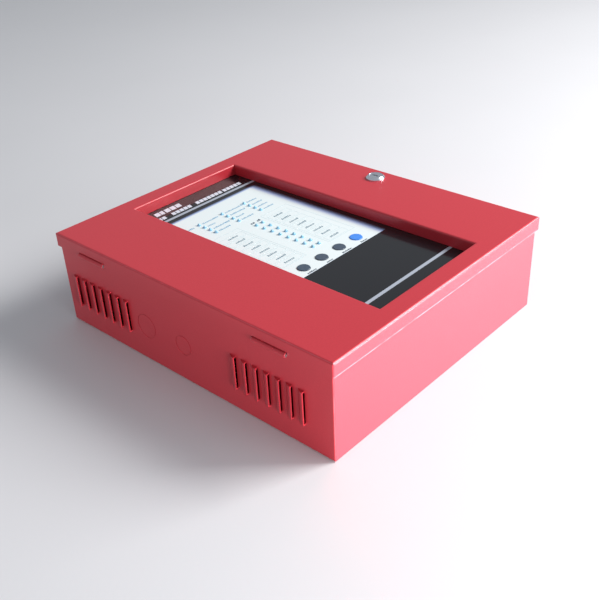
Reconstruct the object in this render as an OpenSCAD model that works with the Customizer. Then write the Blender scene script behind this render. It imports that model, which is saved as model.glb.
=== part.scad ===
// Wall-mounted fire alarm control panel: a folded steel case, a shoebox door on two
// pin hinges with a cam lock, a display behind the door's window, and a power supply
// with standby batteries inside.
// Origin: centre of the back plate's outer face. +X is right and +Y is up as one
// faces the panel, and +Z points out of the door. All sizes are in millimetres.

/* [Case] */
// Width over the case's side walls
case_w = 300; // [290:1:380]
// Height over the case's end walls
case_h = 346; // [340:1:430]
// Depth from the back face to the door's outer face
total_d = 98; // [96:1:125]
// Thickness of the sheet steel
sheet_t = 1.2; // [1:0.05:1.5]
// Outside radius of the folds
bend_r = 2; // [1.8:0.1:3]
// Outside radius of the ground corner seams
seam_r = 1.5; // [0.8:0.1:1.8]
// Width of the return lip round the case's mouth
lip_w = 8; // [5:0.5:10]
// Radius of each wall fixing hole
fix_r = 3.25; // [2:0.05:4]
// Wall fixing holes, centre to centre across
fix_dx = 250; // [220:1:270]
// Wall fixing holes, centre to centre up and down
fix_dy = 294; // [286:1:300]

/* [Louvres and knockouts] */
// Louvres in each of the two groups
louvre_n = 7; // [3:1:7]
// Step from one louvre to the next
louvre_pitch = 12.7; // [10:0.1:13]
// Length of a louvre, along the case's depth
louvre_len = 33; // [20:1:40]
// Width of a louvre's hood
louvre_w = 7; // [5:0.5:8]
// How far a hood stands out of the wall
louvre_out = 3.2; // [2.6:0.1:3.4]
// Mouth of the lower group's first louvre
louvre_low_y = -142.7; // [-145:0.1:-130]
// Mouth of the upper group's first louvre
louvre_high_y = 76; // [70:0.1:78]
// Radius of the larger side knockout
knock_big_r = 12.5; // [8:0.5:14]
// Radius of the smaller knockouts
knock_small_r = 10; // [8:0.5:12]
// Knockouts in the top wall
knock_top_n = 6; // [1:1:6]

/* [Door and window] */
// Gap between the case walls and the door's flange
door_gap = 1; // [0.9:0.1:1.4]
// Depth of the door's flange, from the outer face
door_flange = 13.6; // [12:0.1:18]
// Space between the case's lip and the door's inner face
rim_gap = 1.8; // [1.2:0.1:3]
// Width of the foam gasket
gasket_w = 5; // [3:0.5:6]
// Width of the window opening
window_w = 140; // [120:1:168]
// Height of the window opening
window_h = 310; // [280:1:312]
// Depth of the window's return flange, from the outer face
window_depth = 11.7; // [10:0.1:13]

/* [Hinges] */
// Length of the knuckles of one hinge
hinge_len = 36; // [28:1:44]
// Centre of the lower hinge
hinge_low_y = -109.5; // [-120:0.5:-90]
// Centre of the upper hinge
hinge_high_y = 120; // [90:0.5:125]
// Outer radius of a knuckle
knuckle_r = 2.2; // [2:0.1:2.8]
// Radius of a hinge pin
pin_r = 1.25; // [1:0.05:1.5]
// Running clearance between a pin and the door's knuckles
pin_fit = 0.05; // [0.02:0.01:0.1]
// Thickness of a hinge leaf
leaf_t = 0.8; // [0.6:0.1:0.8]

/* [Lock] */
// Centre of the lock, in from the door's right edge
lock_inset = 19.2; // [18:0.1:22]
// Height of the lock above the panel's middle
lock_y = 6; // [-20:1:20]
// Radius of the lock's head
lock_head_r = 10; // [9.6:0.1:12]
// Radius of the lock's threaded body
lock_body_r = 9.4; // [8:0.1:9.6]
// Width across the body's two flats
lock_flats = 16; // [15:0.1:17.5]
// Radius of the turning plug
plug_r = 6.2; // [5:0.1:6.4]
// Radial clearance of the plug in the barrel
plug_fit = 0.05; // [0.02:0.01:0.1]
// Reach of the cam from the lock's axis
cam_reach = 14.2; // [12:0.1:14.4]

/* [Display] */
// Thickness of the display plate
plate_t = 1.2; // [1:0.1:2]
// Thickness of the printed overlay
label_t = 0.4; // [0.3:0.1:0.6]
// Gap between the overlay and the window's flange
label_gap = 0.3; // [0.2:0.1:0.6]
// Radius of an indicator
led_r = 1.45; // [1:0.05:1.6]
// How far an indicator stands out of the overlay
led_out = 2.2; // [1.6:0.1:3]
// Radius of a push button
button_r = 6.2; // [5:0.1:7]
// How far a push button stands out of the overlay
button_out = 0.9; // [0.7:0.1:1.5]
// Travel of a push button
button_travel = 0.6; // [0.3:0.1:0.7]
// Gap round a button or an indicator
hole_gap = 0.2; // [0.15:0.05:0.4]
// Height of the spacers between the display board and the plate
spacer_h = 4.4; // [4.2:0.1:6]

/* [Main board and power] */
// Width of the main board
board_w = 204; // [196:1:205]
// Height of the main board
board_h = 186; // [184:1:190]
// Height of the main board's standoffs
standoff_h = 8; // [5:0.5:12]
// Width of one battery
battery_w = 90; // [70:1:91]
// Height of one battery's case
battery_h = 101; // [80:1:101]
// Depth of one battery
battery_d = 70; // [50:1:70]
// Thickness of a circuit board
board_t = 1.6; // [1:0.1:2]
// Radius of an internal wire
wire_r = 1; // [0.6:0.1:1.2]

/* [Hidden] */
$fn = 48;
eps = 0.01;          // overlap that joins solids of one piece
over = 1;            // how far a cut runs past the piece
gap = 0.2;           // clearance between parts that rest beside each other
in_x = case_w / 2 - sheet_t;
in_y = case_h / 2 - sheet_t;
rim_z = total_d - sheet_t - rim_gap;
door_in_z = total_d - sheet_t;
door_edge_z = total_d - door_flange;
door_w = case_w + 2 * (door_gap + sheet_t);
door_h = case_h + 2 * (door_gap + sheet_t);
flange_x = case_w / 2 + door_gap;          // inner face of the door's side flange
window_end_z = total_d - window_depth;
window_corner_r = 1;
louvre_z = 40;                              // middle of the louvres' length
louvre_steps = 6;
knock_z = 38.5;
knock_big_y = 52;
knock_small_y = 1.5;
knock_top_pitch = 44;
groove_w = 0.7;
groove_depth = 0.4;

// Hinge: the pin's axis lies just outside the case wall
axis_x = -(case_w / 2 + gap + knuckle_r);
axis_z = door_edge_z + 1;
hinge_ys = [hinge_low_y, hinge_high_y];
knuckle_gap = 0.2;
knuckle_len = (hinge_len - 2 * knuckle_gap) / 3;
pin_head_t = 0.5;
notch_len = hinge_len + 2 * pin_head_t + 1.4;
notch_gap = 0.5;
box_leaf_h = 22;
box_leaf_t = 1.2;

// Lock: its stack from the door's outer face down to the cam
lock_x = door_w / 2 - lock_inset;
lock_head_t = 3.2;
barrel_len = 12;                            // body behind the door's outer face
barrel_end_z = total_d - barrel_len;
flange_r = plug_r + 1.3;
flange_t = 1;
nut_af = 24;
nut_t = 3.5;
cam_t = 1.2;
cam_w = 12;
cam_gap = 0.8;
cam_top_z = barrel_end_z - cam_gap;
square_w = 7;
cam_hole_gap = 0.1;
keeper_z = cam_top_z + gap;                 // underside of the keeper's shelf
keeper_shelf = 5;
keeper_w = 24;
keeper_h = 20;
cam_screw_r = 2.5;
cam_screw_head_r = 4.2;
lip_notch_w = 32;

// Display stack, from the overlay's face down to the display board
label_z = window_end_z - label_gap;
plate_z = label_z - label_t;
plate_under_z = plate_z - plate_t;
plate_margin = 10;
plate_w = window_w + 2 * plate_margin;
plate_h = window_h + 2 * plate_margin;
label_margin = 2;
rail_w = 14;
rail_h = 12;
rail_t = 1.2;
rail_y = window_h / 2 + 6;
plate_screw_x = window_w / 2 + 6;
screw_r = 1.45;
tapped_gap = 0.05;
pcb_top_z = plate_under_z - spacer_h;
pcb_under_z = pcb_top_z - board_t;
pcb_w = 118;
pcb_h = 168;
pcb_x = -13;
pcb_y = 21;
pcb_inset = 4;
status_xs = [-41.5, -10, 21.5];
status_y = 92.2;
status_pitch = 8.2;
status_rows = 4;
supply_led_x = -63.5;
zone_xs = [-7, 1.6];
zone_y = 45.8;
zone_pitch = 10.55;
zone_rows = 8;
led_hole_r = led_r + hole_gap;
button_y = -48.2;
button_x0 = -42.5;
button_pitch = 25;
button_xs = [for (i = [0:3]) button_x0 + i * button_pitch];
button_hole_r = button_r + hole_gap;
button_skirt_r = button_r + 1.2;
button_skirt_t = 1.2;
button_top_t = 1.5;
stem_r = 1.5;
switch_w = 6;
switch_h = 3.4;
header_x = -24;
header_y = 30;
header_size = [33, 9, 9];
plug_size = [30, 6, 12];
plug_seat = 7;                              // how deep a plug sits in its header
ribbon_w = 25.4;
ribbon_t = 0.9;
ribbon_lead = 8;
ribbon_steps = 24;

// Main board
board_x = -38;
board_y = 45;
board_z = sheet_t + standoff_h;
board_top_z = board_z + board_t;
board_inset = 5;
board_mid_fix = 33;                         // middle fixings, above the board's middle
way = 5.08;
block_ways = 4;
zone_blocks = 8;
output_blocks = 4;
block_depth = 12;
block_h = 13;
power_x = board_x + board_w / 2 - 26;       // four-way power block, right edge
cap_places = [[30, 14, 8, 26], [50, 14, 8, 26], [30, -12, 6, 20], [48, -12, 6, 20]];
relay_size = [15, 19, 15.5];
relay_n = 3;
heatsink_size = [46, 14, 28];
fin_t = 1.6;
fin_n = 8;

// Power supply on the right and batteries at the bottom
trafo_x = 112;
trafo_y = 60;
core_t = 33;                                // lamination stack
core_w = 66;
core_h = 55;
leg_w = 11;                                 // outer leg, half the middle leg
coil_w = 48;
coil_gap = 0.3;
frame_foot = 12;
frame_w = 26;
mains_y = 132;
mains_x = 116;
mains_size = [36, 18, 16];
fuse_y = 113;
fuse_size = [34, 9, 13];
earth_x = 84;
earth_y = 128;
earth_r = 3;
battery_gap = 4;
battery_y0 = -in_y + 0.5;                   // clear of the fold's inner radius
battery_z0 = sheet_t + gap;
battery_lid_h = 8;
tab_size = [4.8, 6.4, 0.8];
tab_z = battery_z0 + 0.8 * battery_d;
battery_top_y = battery_y0 + battery_h;
bracket_t = 1.2;
bracket_w = 20;
bracket_y = max(battery_y0 + battery_h / 2,   // middle of the batteries, beside the rail
    bracket_w / 2 + gap - rail_y + rail_w / 2);
bracket_foot = 14;
bracket_x = battery_w + battery_gap / 2 + bracket_t + gap;
stud_r = 2;

case_red = [0.70, 0.13, 0.17];
steel = [0.72, 0.73, 0.75];
dark = [0.09, 0.09, 0.1];
board_green = [0.05, 0.32, 0.17];

// ---------------------------------------------------------------- shared shapes

// Rounded rectangle of squares and circles, so that its corners stay true arcs
module round_rect(w, h, r) {
    square([w - 2 * r, h], center = true);
    square([w, h - 2 * r], center = true);
    for (sx = [-1, 1], sy = [-1, 1])
        translate([sx * (w / 2 - r), sy * (h / 2 - r)]) circle(r);
}

// Section of a folded tray: open edge at z_edge, rounded corners at z_face
module fold_section(w, z_edge, z_face, r) {
    s = sign(z_face - z_edge);
    z_round = z_face - s * r;
    translate([-w / 2, min(z_edge, z_round)]) square([w, abs(z_round - z_edge)]);
    translate([-w / 2 + r, min(z_edge, z_face)]) square([w - 2 * r, abs(z_face - z_edge)]);
    for (sx = [-1, 1]) translate([sx * (w / 2 - r), z_round]) circle(r);
}

// Block with the outside shape of a folded tray
module folded_block(w, h, z_edge, z_face, r_face, r_plan) {
    intersection() {
        translate([0, 0, min(z_edge, z_face)])
            linear_extrude(abs(z_face - z_edge)) round_rect(w, h, r_plan);
        rotate([90, 0, 0]) linear_extrude(h + 2 * over, center = true)
            fold_section(w, z_edge, z_face, r_face);
        rotate([90, 0, 90]) linear_extrude(w + 2 * over, center = true)
            fold_section(h, z_edge, z_face, r_face);
    }
}

// Box given by its corner and size, centred in X and Y on its place
module block_at(x, y, z, size) {
    translate([x - size.x / 2, y - size.y / 2, z]) cube(size);
}

// Upright cylinder from z up by h
module post_at(x, y, z, r, h) {
    translate([x, y, z]) cylinder(r = r, h = h);
}

// Hexagonal column of a given width across its flats
module hex_at(x, y, z, across, h) {
    translate([x, y, z]) cylinder(r = across / sqrt(3), h = h, $fn = 6);
}

// Pan-head screw whose head stands on z and whose shank goes down
module screw_at(x, y, z, r, length) {
    head_r = 1.95 * r;
    post_at(x, y, z - length, r, length + eps);
    difference() {
        post_at(x, y, z, head_r, 1.5 * r);
        for (turn = [0, 90]) translate([x, y, z + 1.1 * r]) rotate([0, 0, turn])
            translate([-head_r * 0.62, -0.25 * r, 0]) cube([head_r * 1.24, 0.5 * r, r]);
    }
}

// Smooth curve through a wire's points, four steps from each to the next
wire_steps = 4;
function curve_at(a, b, c, d, t) = 0.5 * (2 * b + (c - a) * t
    + (2 * a - 5 * b + 4 * c - d) * t * t + (3 * b - a - 3 * c + d) * t * t * t);
function route(p) = let (n = len(p)) concat([for (i = [0:n - 2], k = [0:wire_steps - 1])
    curve_at(p[max(i - 1, 0)], p[i], p[i + 1], p[min(i + 2, n - 1)], k / wire_steps)],
    [p[n - 1]]);
function unit(v) = v / norm(v);
function heading(p, i) = unit(p[min(i + 1, len(p) - 1)] - p[max(i - 1, 0)]);
function across(v, t) = unit(v - (v * t) * t);
function first_across(t) = across(abs(t.z) < 0.8 ? [0, 0, 1] : [0, 1, 0], t);

// Round wire along hand-chosen points, as one closed solid
module wire(points, r = wire_r, sides = 8) {
    p = route(points);
    n = len(p);
    rings = [for (i = 0, u = first_across(heading(p, 0)); i < n;
        i = i + 1, u = across(u, heading(p, min(i, n - 1))))
        let (v = cross(heading(p, i), u)) for (k = [0:sides - 1])
            p[i] + r * (cos(360 * k / sides) * u + sin(360 * k / sides) * v)];
    polyhedron(rings, concat(
        [[for (k = [sides - 1:-1:0]) k]],
        [for (i = [0:n - 2], k = [0:sides - 1]) let (a = i * sides + k,
            b = i * sides + (k + 1) % sides) [a, b, b + sides, a + sides]],
        [[for (k = [0:sides - 1]) (n - 1) * sides + k]]));
}

// ---------------------------------------------------------------- case

function hood_at(u) = louvre_out * cos(90 * u / louvre_w);
hood_us = [for (i = [0:louvre_steps]) i * louvre_w / louvre_steps];
louvre_ys = concat([for (i = [0:louvre_n - 1]) louvre_low_y + i * louvre_pitch],
    [for (i = [0:louvre_n - 1]) louvre_high_y + i * louvre_pitch]);

// Lays a louvre outline against the left wall: its width along Y, its rise outwards
module on_left_wall(y, z, length) {
    translate([-case_w / 2, y, z]) rotate([0, 0, 90]) linear_extrude(length) children();
}

// Pressed hood over a slot, open at its lower edge and closed at both ends
module louvre_hood(y) {
    low = louvre_z - louvre_len / 2;
    on_left_wall(y, low, louvre_len) polygon(concat(
        [for (u = hood_us) [u, hood_at(u)]],
        [for (i = [louvre_steps:-1:0]) [hood_us[i], hood_at(hood_us[i]) - sheet_t]]));
    for (z = [low, low + louvre_len - sheet_t])
        on_left_wall(y, z, sheet_t) polygon(concat(
            [for (u = hood_us) [u, hood_at(u)]], [[louvre_w, -sheet_t], [0, -sheet_t]]));
}

// Ring pressed into a wall round a knockout
module knockout_groove(r) {
    difference() {
        cylinder(r = r, h = groove_depth + over);
        translate([0, 0, -over]) cylinder(r = r - groove_w, h = groove_depth + 3 * over);
    }
}

// Folded case: back plate, four walls, return lip, louvres, knockouts and fixing holes
module back_box() {
    color(case_red) {
        difference() {
            folded_block(case_w, case_h, rim_z, 0, bend_r, seam_r);
            folded_block(case_w - 2 * sheet_t, case_h - 2 * sheet_t, rim_z - sheet_t,
                sheet_t, bend_r - sheet_t, 0.3);
            translate([0, 0, rim_z - 2 * sheet_t]) linear_extrude(3 * sheet_t)
                round_rect(case_w - 2 * lip_w, case_h - 2 * lip_w, 2);
            translate([in_x - lip_w, lock_y - lip_notch_w / 2, rim_z - 2 * sheet_t])
                cube([lip_w, lip_notch_w, 3 * sheet_t]);
            for (sx = [-1, 1], sy = [-1, 1])
                post_at(sx * fix_dx / 2, sy * fix_dy / 2, -over, fix_r, sheet_t + 2 * over);
            for (y = louvre_ys)
                translate([-case_w / 2 - over, y, louvre_z - louvre_len / 2 + sheet_t / 2])
                    cube([sheet_t + 2 * over, louvre_w - eps, louvre_len - sheet_t]);
            for (y = hinge_ys) translate([-case_w / 2 - over, y - knuckle_len / 2 - 0.6,
                axis_z - knuckle_r - 0.4]) cube([sheet_t + 2 * over, knuckle_len + 1.2, 2]);
            for (place = [[knock_big_y, knock_big_r], [knock_small_y, knock_small_r]])
                translate([-case_w / 2 + groove_depth, place[0], knock_z])
                    rotate([0, -90, 0]) knockout_groove(place[1]);
            for (i = [0:knock_top_n - 1])
                translate([(i - (knock_top_n - 1) / 2) * knock_top_pitch,
                    case_h / 2 - groove_depth, knock_z]) rotate([-90, 0, 0])
                    knockout_groove(knock_small_r);
        }
        for (y = louvre_ys) louvre_hood(y);
    }
}

// One knuckle of a hinge, round the pin's axis
module knuckle(y, length) {
    translate([axis_x, y + length / 2, axis_z]) rotate([90, 0, 0])
        cylinder(r = knuckle_r, h = length);
}

module pin_bore(y, r) {
    translate([axis_x, y + hinge_len, axis_z]) rotate([90, 0, 0])
        cylinder(r = r, h = 2 * hinge_len);
}

// Case leaves: welded inside the left wall, each with the middle knuckle
module hinge_box_leaves() {
    color(case_red) for (y = hinge_ys) difference() {
        union() {
            knuckle(y, knuckle_len);
            translate([axis_x, y - knuckle_len / 2, axis_z - knuckle_r])
                cube([-in_x + box_leaf_t - axis_x, knuckle_len, box_leaf_t]);
            translate([-in_x, y - hinge_len / 2, axis_z - knuckle_r + box_leaf_t - box_leaf_h])
                cube([box_leaf_t, hinge_len, box_leaf_h]);
        }
        pin_bore(y, pin_r);
    }
}

// Hinge pins, each with a peened head at both ends
module hinge_pins() {
    color(steel) for (y = hinge_ys) {
        translate([axis_x, y + hinge_len / 2 + eps, axis_z]) rotate([90, 0, 0])
            cylinder(r = pin_r, h = hinge_len + 2 * eps);
        for (end = [y - hinge_len / 2 - pin_head_t, y + hinge_len / 2])
            translate([axis_x, end + pin_head_t, axis_z]) rotate([90, 0, 0])
                cylinder(r = pin_r + 0.5, h = pin_head_t);
    }
}

// Angle inside the right wall whose shelf the lock's cam turns under
module lock_keeper() {
    color(steel) {
        translate([in_x - sheet_t, lock_y - keeper_w / 2, keeper_z + sheet_t - keeper_h])
            cube([sheet_t, keeper_w, keeper_h]);
        translate([in_x - keeper_shelf, lock_y - keeper_w / 2, keeper_z])
            cube([keeper_shelf, keeper_w, sheet_t]);
    }
}

// Two channels across the case that carry the display plate
module display_rails() {
    color(steel) for (s = [-1, 1]) difference() {
        union() {
            block_at(0, s * rail_y, plate_under_z - rail_t, [2 * in_x, rail_w, rail_t]);
            for (side = [-1, 1]) {
                block_at(0, s * rail_y + side * (rail_w - rail_t) / 2,
                    plate_under_z - rail_h, [2 * in_x, rail_t, rail_h]);
                block_at(side * (in_x - rail_t / 2), s * rail_y, plate_under_z - rail_h,
                    [rail_t, rail_w, rail_h]);
            }
        }
        for (sx = [-1, 1])
            post_at(sx * plate_screw_x, s * rail_y, plate_under_z - rail_t - over,
                screw_r + tapped_gap, rail_t + 2 * over);
    }
}

module earth_stud() {
    color([0.8, 0.65, 0.25]) post_at(earth_x, earth_y, sheet_t, earth_r, 16);
}

// Two nuts on the earth stud, with room for the lug between them
module earth_nuts() {
    color([0.8, 0.65, 0.25]) for (z = [sheet_t, sheet_t + 8]) difference() {
        hex_at(earth_x, earth_y, z, 10, 4);
        post_at(earth_x, earth_y, z - over, earth_r + tapped_gap, 4 + 2 * over);
    }
}

// ---------------------------------------------------------------- door

// Window cut whose edges roll outwards at the door's face
module window_roll() {
    intersection() {
        rotate([90, 0, 0]) linear_extrude(window_h + 4 * bend_r, center = true)
            roll_section(window_w);
        rotate([90, 0, 90]) linear_extrude(window_w + 4 * bend_r, center = true)
            roll_section(window_h);
    }
}

module roll_section(w) {
    translate([-w / 2, window_end_z]) square([w, window_depth + over]);
    for (s = [-1, 1]) difference() {
        translate([s * (w / 2 + bend_r / 2), total_d - bend_r / 2])
            square([bend_r + 2 * eps, bend_r + 2 * eps], center = true);
        translate([s * (w / 2 + bend_r), total_d - bend_r]) circle(bend_r);
    }
}

module door() {
    color(case_red) difference() {
        union() {
            difference() {
                folded_block(door_w, door_h, door_edge_z, total_d, bend_r, seam_r);
                folded_block(door_w - 2 * sheet_t, door_h - 2 * sheet_t,
                    door_edge_z - over, door_in_z, bend_r - sheet_t, 0.3);
            }
            translate([0, 0, window_end_z]) linear_extrude(door_in_z - window_end_z + eps)
                round_rect(window_w + 2 * sheet_t, window_h + 2 * sheet_t,
                    window_corner_r + sheet_t);
        }
        translate([0, 0, window_end_z - over]) linear_extrude(window_depth + 2 * over)
            round_rect(window_w, window_h, window_corner_r);
        window_roll();
        for (y = hinge_ys) translate([-door_w / 2 - over, y - notch_len / 2,
            door_edge_z - over]) cube([sheet_t + 2 * over, notch_len,
            axis_z + knuckle_r + notch_gap - door_edge_z + over]);
        intersection() {
            post_at(lock_x, lock_y, door_in_z - over, lock_body_r + gap, sheet_t + 2 * over);
            block_at(lock_x, lock_y, door_in_z - over,
                [lock_flats + 2 * gap, 3 * lock_body_r, sheet_t + 2 * over]);
        }
    }
}

// Foam strip inside the door, over the case's lip, broken at the lock
module door_gasket() {
    color(dark) difference() {
        translate([0, 0, rim_z + gap]) linear_extrude(rim_gap - gap) difference() {
            round_rect(2 * in_x, 2 * in_y, 3);
            round_rect(2 * (in_x - gasket_w), 2 * (in_y - gasket_w), 1);
        }
        block_at(in_x, lock_y, rim_z, [4 * gasket_w, lip_notch_w, 2 * rim_gap]);
    }
}

// Door leaves: welded inside the door's flange, each with the two outer knuckles
module hinge_door_leaves() {
    leaf_h = rim_z - axis_z;
    color(case_red) for (y = hinge_ys) difference() {
        union() {
            translate([-flange_x, y - hinge_len / 2, axis_z])
                cube([leaf_t, hinge_len, leaf_h]);
            for (s = [-1, 1])
                knuckle(y + s * (knuckle_len + knuckle_gap), knuckle_len);
        }
        translate([axis_x - 2 * knuckle_r, y - knuckle_len / 2 - knuckle_gap,
            axis_z - 2 * knuckle_r])
            cube([4 * knuckle_r, knuckle_len + 2 * knuckle_gap, 3 * knuckle_r + notch_gap]);
        pin_bore(y, pin_r + pin_fit);
    }
}

// ---------------------------------------------------------------- lock

// Cam-lock housing: bevelled head and a threaded body with two flats
module lock_barrel() {
    color([0.8, 0.81, 0.83]) translate([lock_x, lock_y, 0]) difference() {
        union() {
            rotate_extrude() polygon([[0, total_d], [lock_head_r, total_d],
                [lock_head_r, total_d + 1.2], [lock_head_r - 2, total_d + lock_head_t],
                [0, total_d + lock_head_t]]);
            intersection() {
                translate([0, 0, barrel_end_z])
                    cylinder(r = lock_body_r, h = barrel_len + eps);
                block_at(0, 0, barrel_end_z,
                    [lock_flats, 3 * lock_body_r, barrel_len + eps]);
            }
        }
        translate([0, 0, barrel_end_z - over])
            cylinder(r = plug_r + plug_fit, h = barrel_len + lock_head_t + 2 * over);
        translate([0, 0, total_d + lock_head_t - flange_t - 0.5])
            cylinder(r = flange_r + plug_fit, h = flange_t + 0.5 + over);
    }
}

module lock_nut() {
    color(steel) difference() {
        hex_at(lock_x, lock_y, door_in_z - nut_t, nut_af, nut_t);
        post_at(lock_x, lock_y, door_in_z - nut_t - over, lock_body_r + tapped_gap,
            nut_t + 2 * over);
    }
}

// Turning plug: flanged front with the keyway, round shank, square end for the cam
module lock_plug() {
    front_z = total_d + lock_head_t - 0.3;
    shank_z = barrel_end_z - cam_gap + gap;
    color(steel) translate([lock_x, lock_y, 0]) difference() {
        union() {
            translate([0, 0, front_z - flange_t]) cylinder(r = flange_r, h = flange_t);
            translate([0, 0, shank_z]) cylinder(r = plug_r, h = front_z - shank_z - eps);
            block_at(0, 0, cam_top_z - cam_t, [square_w, square_w, cam_t + gap + eps]);
        }
        block_at(0, 0, front_z - 9, [1.6, 7.4, 9 + over]);
        block_at(0.8, 1.4, front_z - 9, [1.2, 1.4, 9 + over]);
        translate([0, 0, cam_top_z - cam_t - over])
            cylinder(r = cam_screw_r + tapped_gap, h = 7 + over);
    }
}

// Flat cam on the plug's square end, resting along -Y with the door free
module lock_cam() {
    color(steel) translate([lock_x, lock_y, cam_top_z - cam_t]) difference() {
        intersection() {
            union() {
                cylinder(r = cam_w / 2, h = cam_t);
                translate([-cam_w / 2, -cam_reach - over, 0])
                    cube([cam_w, cam_reach + over, cam_t]);
            }
            cylinder(r = cam_reach, h = cam_t);
        }
        block_at(0, 0, -over, [square_w + 2 * cam_hole_gap, square_w + 2 * cam_hole_gap,
            cam_t + 2 * over]);
    }
}

module lock_cam_screw() {
    seat_z = cam_top_z - cam_t - 0.1;
    color(steel) {
        post_at(lock_x, lock_y, seat_z - 1, cam_screw_head_r + 0.8, 1);
        hex_at(lock_x, lock_y, seat_z - 4, 2 * cam_screw_head_r * 0.9, 3 + eps);
        post_at(lock_x, lock_y, seat_z - eps, cam_screw_r, 6);
    }
}

// ---------------------------------------------------------------- display

// Runs its children once at each indicator in a group
module at_status_leds() {
    for (x = status_xs, row = [0:status_rows - 1])
        translate([x, status_y - row * status_pitch, 0]) children();
    translate([supply_led_x, status_y, 0]) children();
}

module at_zone_leds() {
    for (x = zone_xs, row = [0:zone_rows - 1])
        translate([x, zone_y - row * zone_pitch, 0]) children();
}

module display_holes(z, h) {
    at_status_leds() translate([0, 0, z]) cylinder(r = led_hole_r, h = h);
    at_zone_leds() translate([0, 0, z]) cylinder(r = led_hole_r, h = h);
    for (x = button_xs) post_at(x, button_y, z, button_hole_r, h);
}

pcb_fix = [for (sx = [-1, 1], sy = [-1, 0, 1])
    [pcb_x + sx * (pcb_w / 2 - pcb_inset), pcb_y + sy * (pcb_h / 2 - pcb_inset)]];

module display_plate() {
    color(dark) difference() {
        translate([0, 0, plate_under_z]) linear_extrude(plate_t)
            round_rect(plate_w, plate_h, 3);
        display_holes(plate_under_z - over, plate_t + 2 * over);
        for (sx = [-1, 1], sy = [-1, 1]) post_at(sx * plate_screw_x, sy * rail_y,
            plate_under_z - over, screw_r + gap, plate_t + 2 * over);
        for (p = pcb_fix) post_at(p.x, p.y, plate_under_z - over,
            screw_r + tapped_gap, plate_t + 2 * over);
    }
}

module display_label() {
    color([0.93, 0.95, 0.95]) difference() {
        translate([0, 0, plate_z]) linear_extrude(label_t)
            round_rect(window_w + 2 * label_margin, window_h + 2 * label_margin, 1);
        display_holes(plate_z - over, label_t + 2 * over);
    }
}

module display_screws() {
    color(steel) for (sx = [-1, 1], sy = [-1, 1])
        screw_at(sx * plate_screw_x, sy * rail_y, plate_z, screw_r, 5);
}

module display_pcb() {
    color(board_green) difference() {
        translate([pcb_x, pcb_y, pcb_under_z]) linear_extrude(board_t)
            round_rect(pcb_w, pcb_h, 2);
        for (p = pcb_fix)
            post_at(p.x, p.y, pcb_under_z - over, screw_r + gap, board_t + 2 * over);
    }
}

module display_spacers() {
    color([0.9, 0.9, 0.88]) for (p = pcb_fix) difference() {
        post_at(p.x, p.y, pcb_top_z, 3, spacer_h);
        post_at(p.x, p.y, pcb_top_z - over, screw_r + gap, spacer_h + 2 * over);
    }
}

// Screws up through the display board into the plate
module display_pcb_screws() {
    color(steel) for (p = pcb_fix) translate([p.x, p.y, pcb_under_z]) rotate([180, 0, 0])
        screw_at(0, 0, 0, screw_r, board_t + spacer_h + plate_t - gap);
}

// Domed indicator on two leads
module led() {
    tip_z = label_z + led_out;
    base_z = tip_z - 5.3;
    translate([0, 0, base_z]) cylinder(r = led_r + 0.15, h = 0.9);
    translate([0, 0, base_z]) cylinder(r = led_r, h = tip_z - led_r - base_z);
    translate([0, 0, tip_z - led_r]) sphere(led_r);
    for (s = [-1, 1]) block_at(s * 0.6, 0, pcb_top_z, [0.5, 0.5, base_z - pcb_top_z + eps]);
}

module status_leds() {
    color([0.62, 0.82, 0.93]) at_status_leds() led();
}

module zone_leds() {
    color([0.62, 0.82, 0.93]) at_zone_leds() led();
}

// Square tactile switches, each with a well for its button's stem
module button_switches() {
    color(dark) for (x = button_xs) difference() {
        block_at(x, button_y, pcb_top_z, [switch_w, switch_w, switch_h]);
        post_at(x, button_y, pcb_top_z + 0.6, stem_r + 0.1, switch_h);
    }
}

// Push button: cap through the overlay, skirt under the plate, stem into its switch
module push_button(x) {
    top_z = label_z + button_out;
    skirt_z = plate_under_z - gap - button_skirt_t;
    translate([x, button_y, 0]) {
        difference() {
            rotate_extrude() polygon([[0, skirt_z], [button_skirt_r, skirt_z],
                [button_skirt_r, skirt_z + button_skirt_t], [button_r, skirt_z + button_skirt_t],
                [button_r, top_z - 0.4], [button_r - 0.2, top_z - 0.15],
                [button_r - 0.7, top_z], [0, top_z]]);
            translate([0, 0, skirt_z - over])
                cylinder(r = button_r - 1.2, h = top_z - button_top_t - skirt_z + over);
        }
        stem_z = pcb_top_z + 0.6 + button_travel + gap;
        translate([0, 0, stem_z]) cylinder(r = stem_r, h = top_z - button_top_t - stem_z + eps);
    }
}

module silence_button() { color([0.27, 0.3, 0.34]) push_button(button_xs[0]); }
module test_button() { color([0.27, 0.3, 0.34]) push_button(button_xs[1]); }
module evacuate_button() { color([0.27, 0.3, 0.34]) push_button(button_xs[2]); }
module reset_button() { color([0.27, 0.56, 0.9]) push_button(button_xs[3]); }

module buzzer() {
    color(dark) translate([26, -26, pcb_under_z - 9]) difference() {
        cylinder(r = 11.5, h = 9);
        translate([0, 0, -over]) cylinder(r = 1.6, h = over + 2);
    }
}

module display_chips() {
    color(dark) {
        block_at(-46, 6, pcb_under_z - 1.6, [12, 12, 1.6]);
        for (y = [78, 62]) block_at(22, y, pcb_under_z - 1.7, [12.8, 7.5, 1.7]);
        block_at(14, 14, pcb_under_z - 1.7, [12.8, 7.5, 1.7]);
    }
}

// Shrouded header: an open box with its plug's socket
module header(up) {
    z0 = up ? board_top_z : pcb_under_z - header_size.z;
    cut_z = up ? z0 + header_size.z - plug_seat - gap : z0 - over;
    difference() {
        block_at(header_x, header_y, z0, header_size);
        block_at(header_x, header_y, cut_z, [plug_size.x + 2 * gap, plug_size.y + 2 * gap,
            plug_seat + gap + over]);
        block_at(header_x, header_y - header_size.y / 2, cut_z,
            [4.4, 2 * header_size.y / 2, plug_seat + gap + over]);
    }
}

module display_header() { color(dark) header(false); }
module main_header() { color(dark) header(true); }

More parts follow.
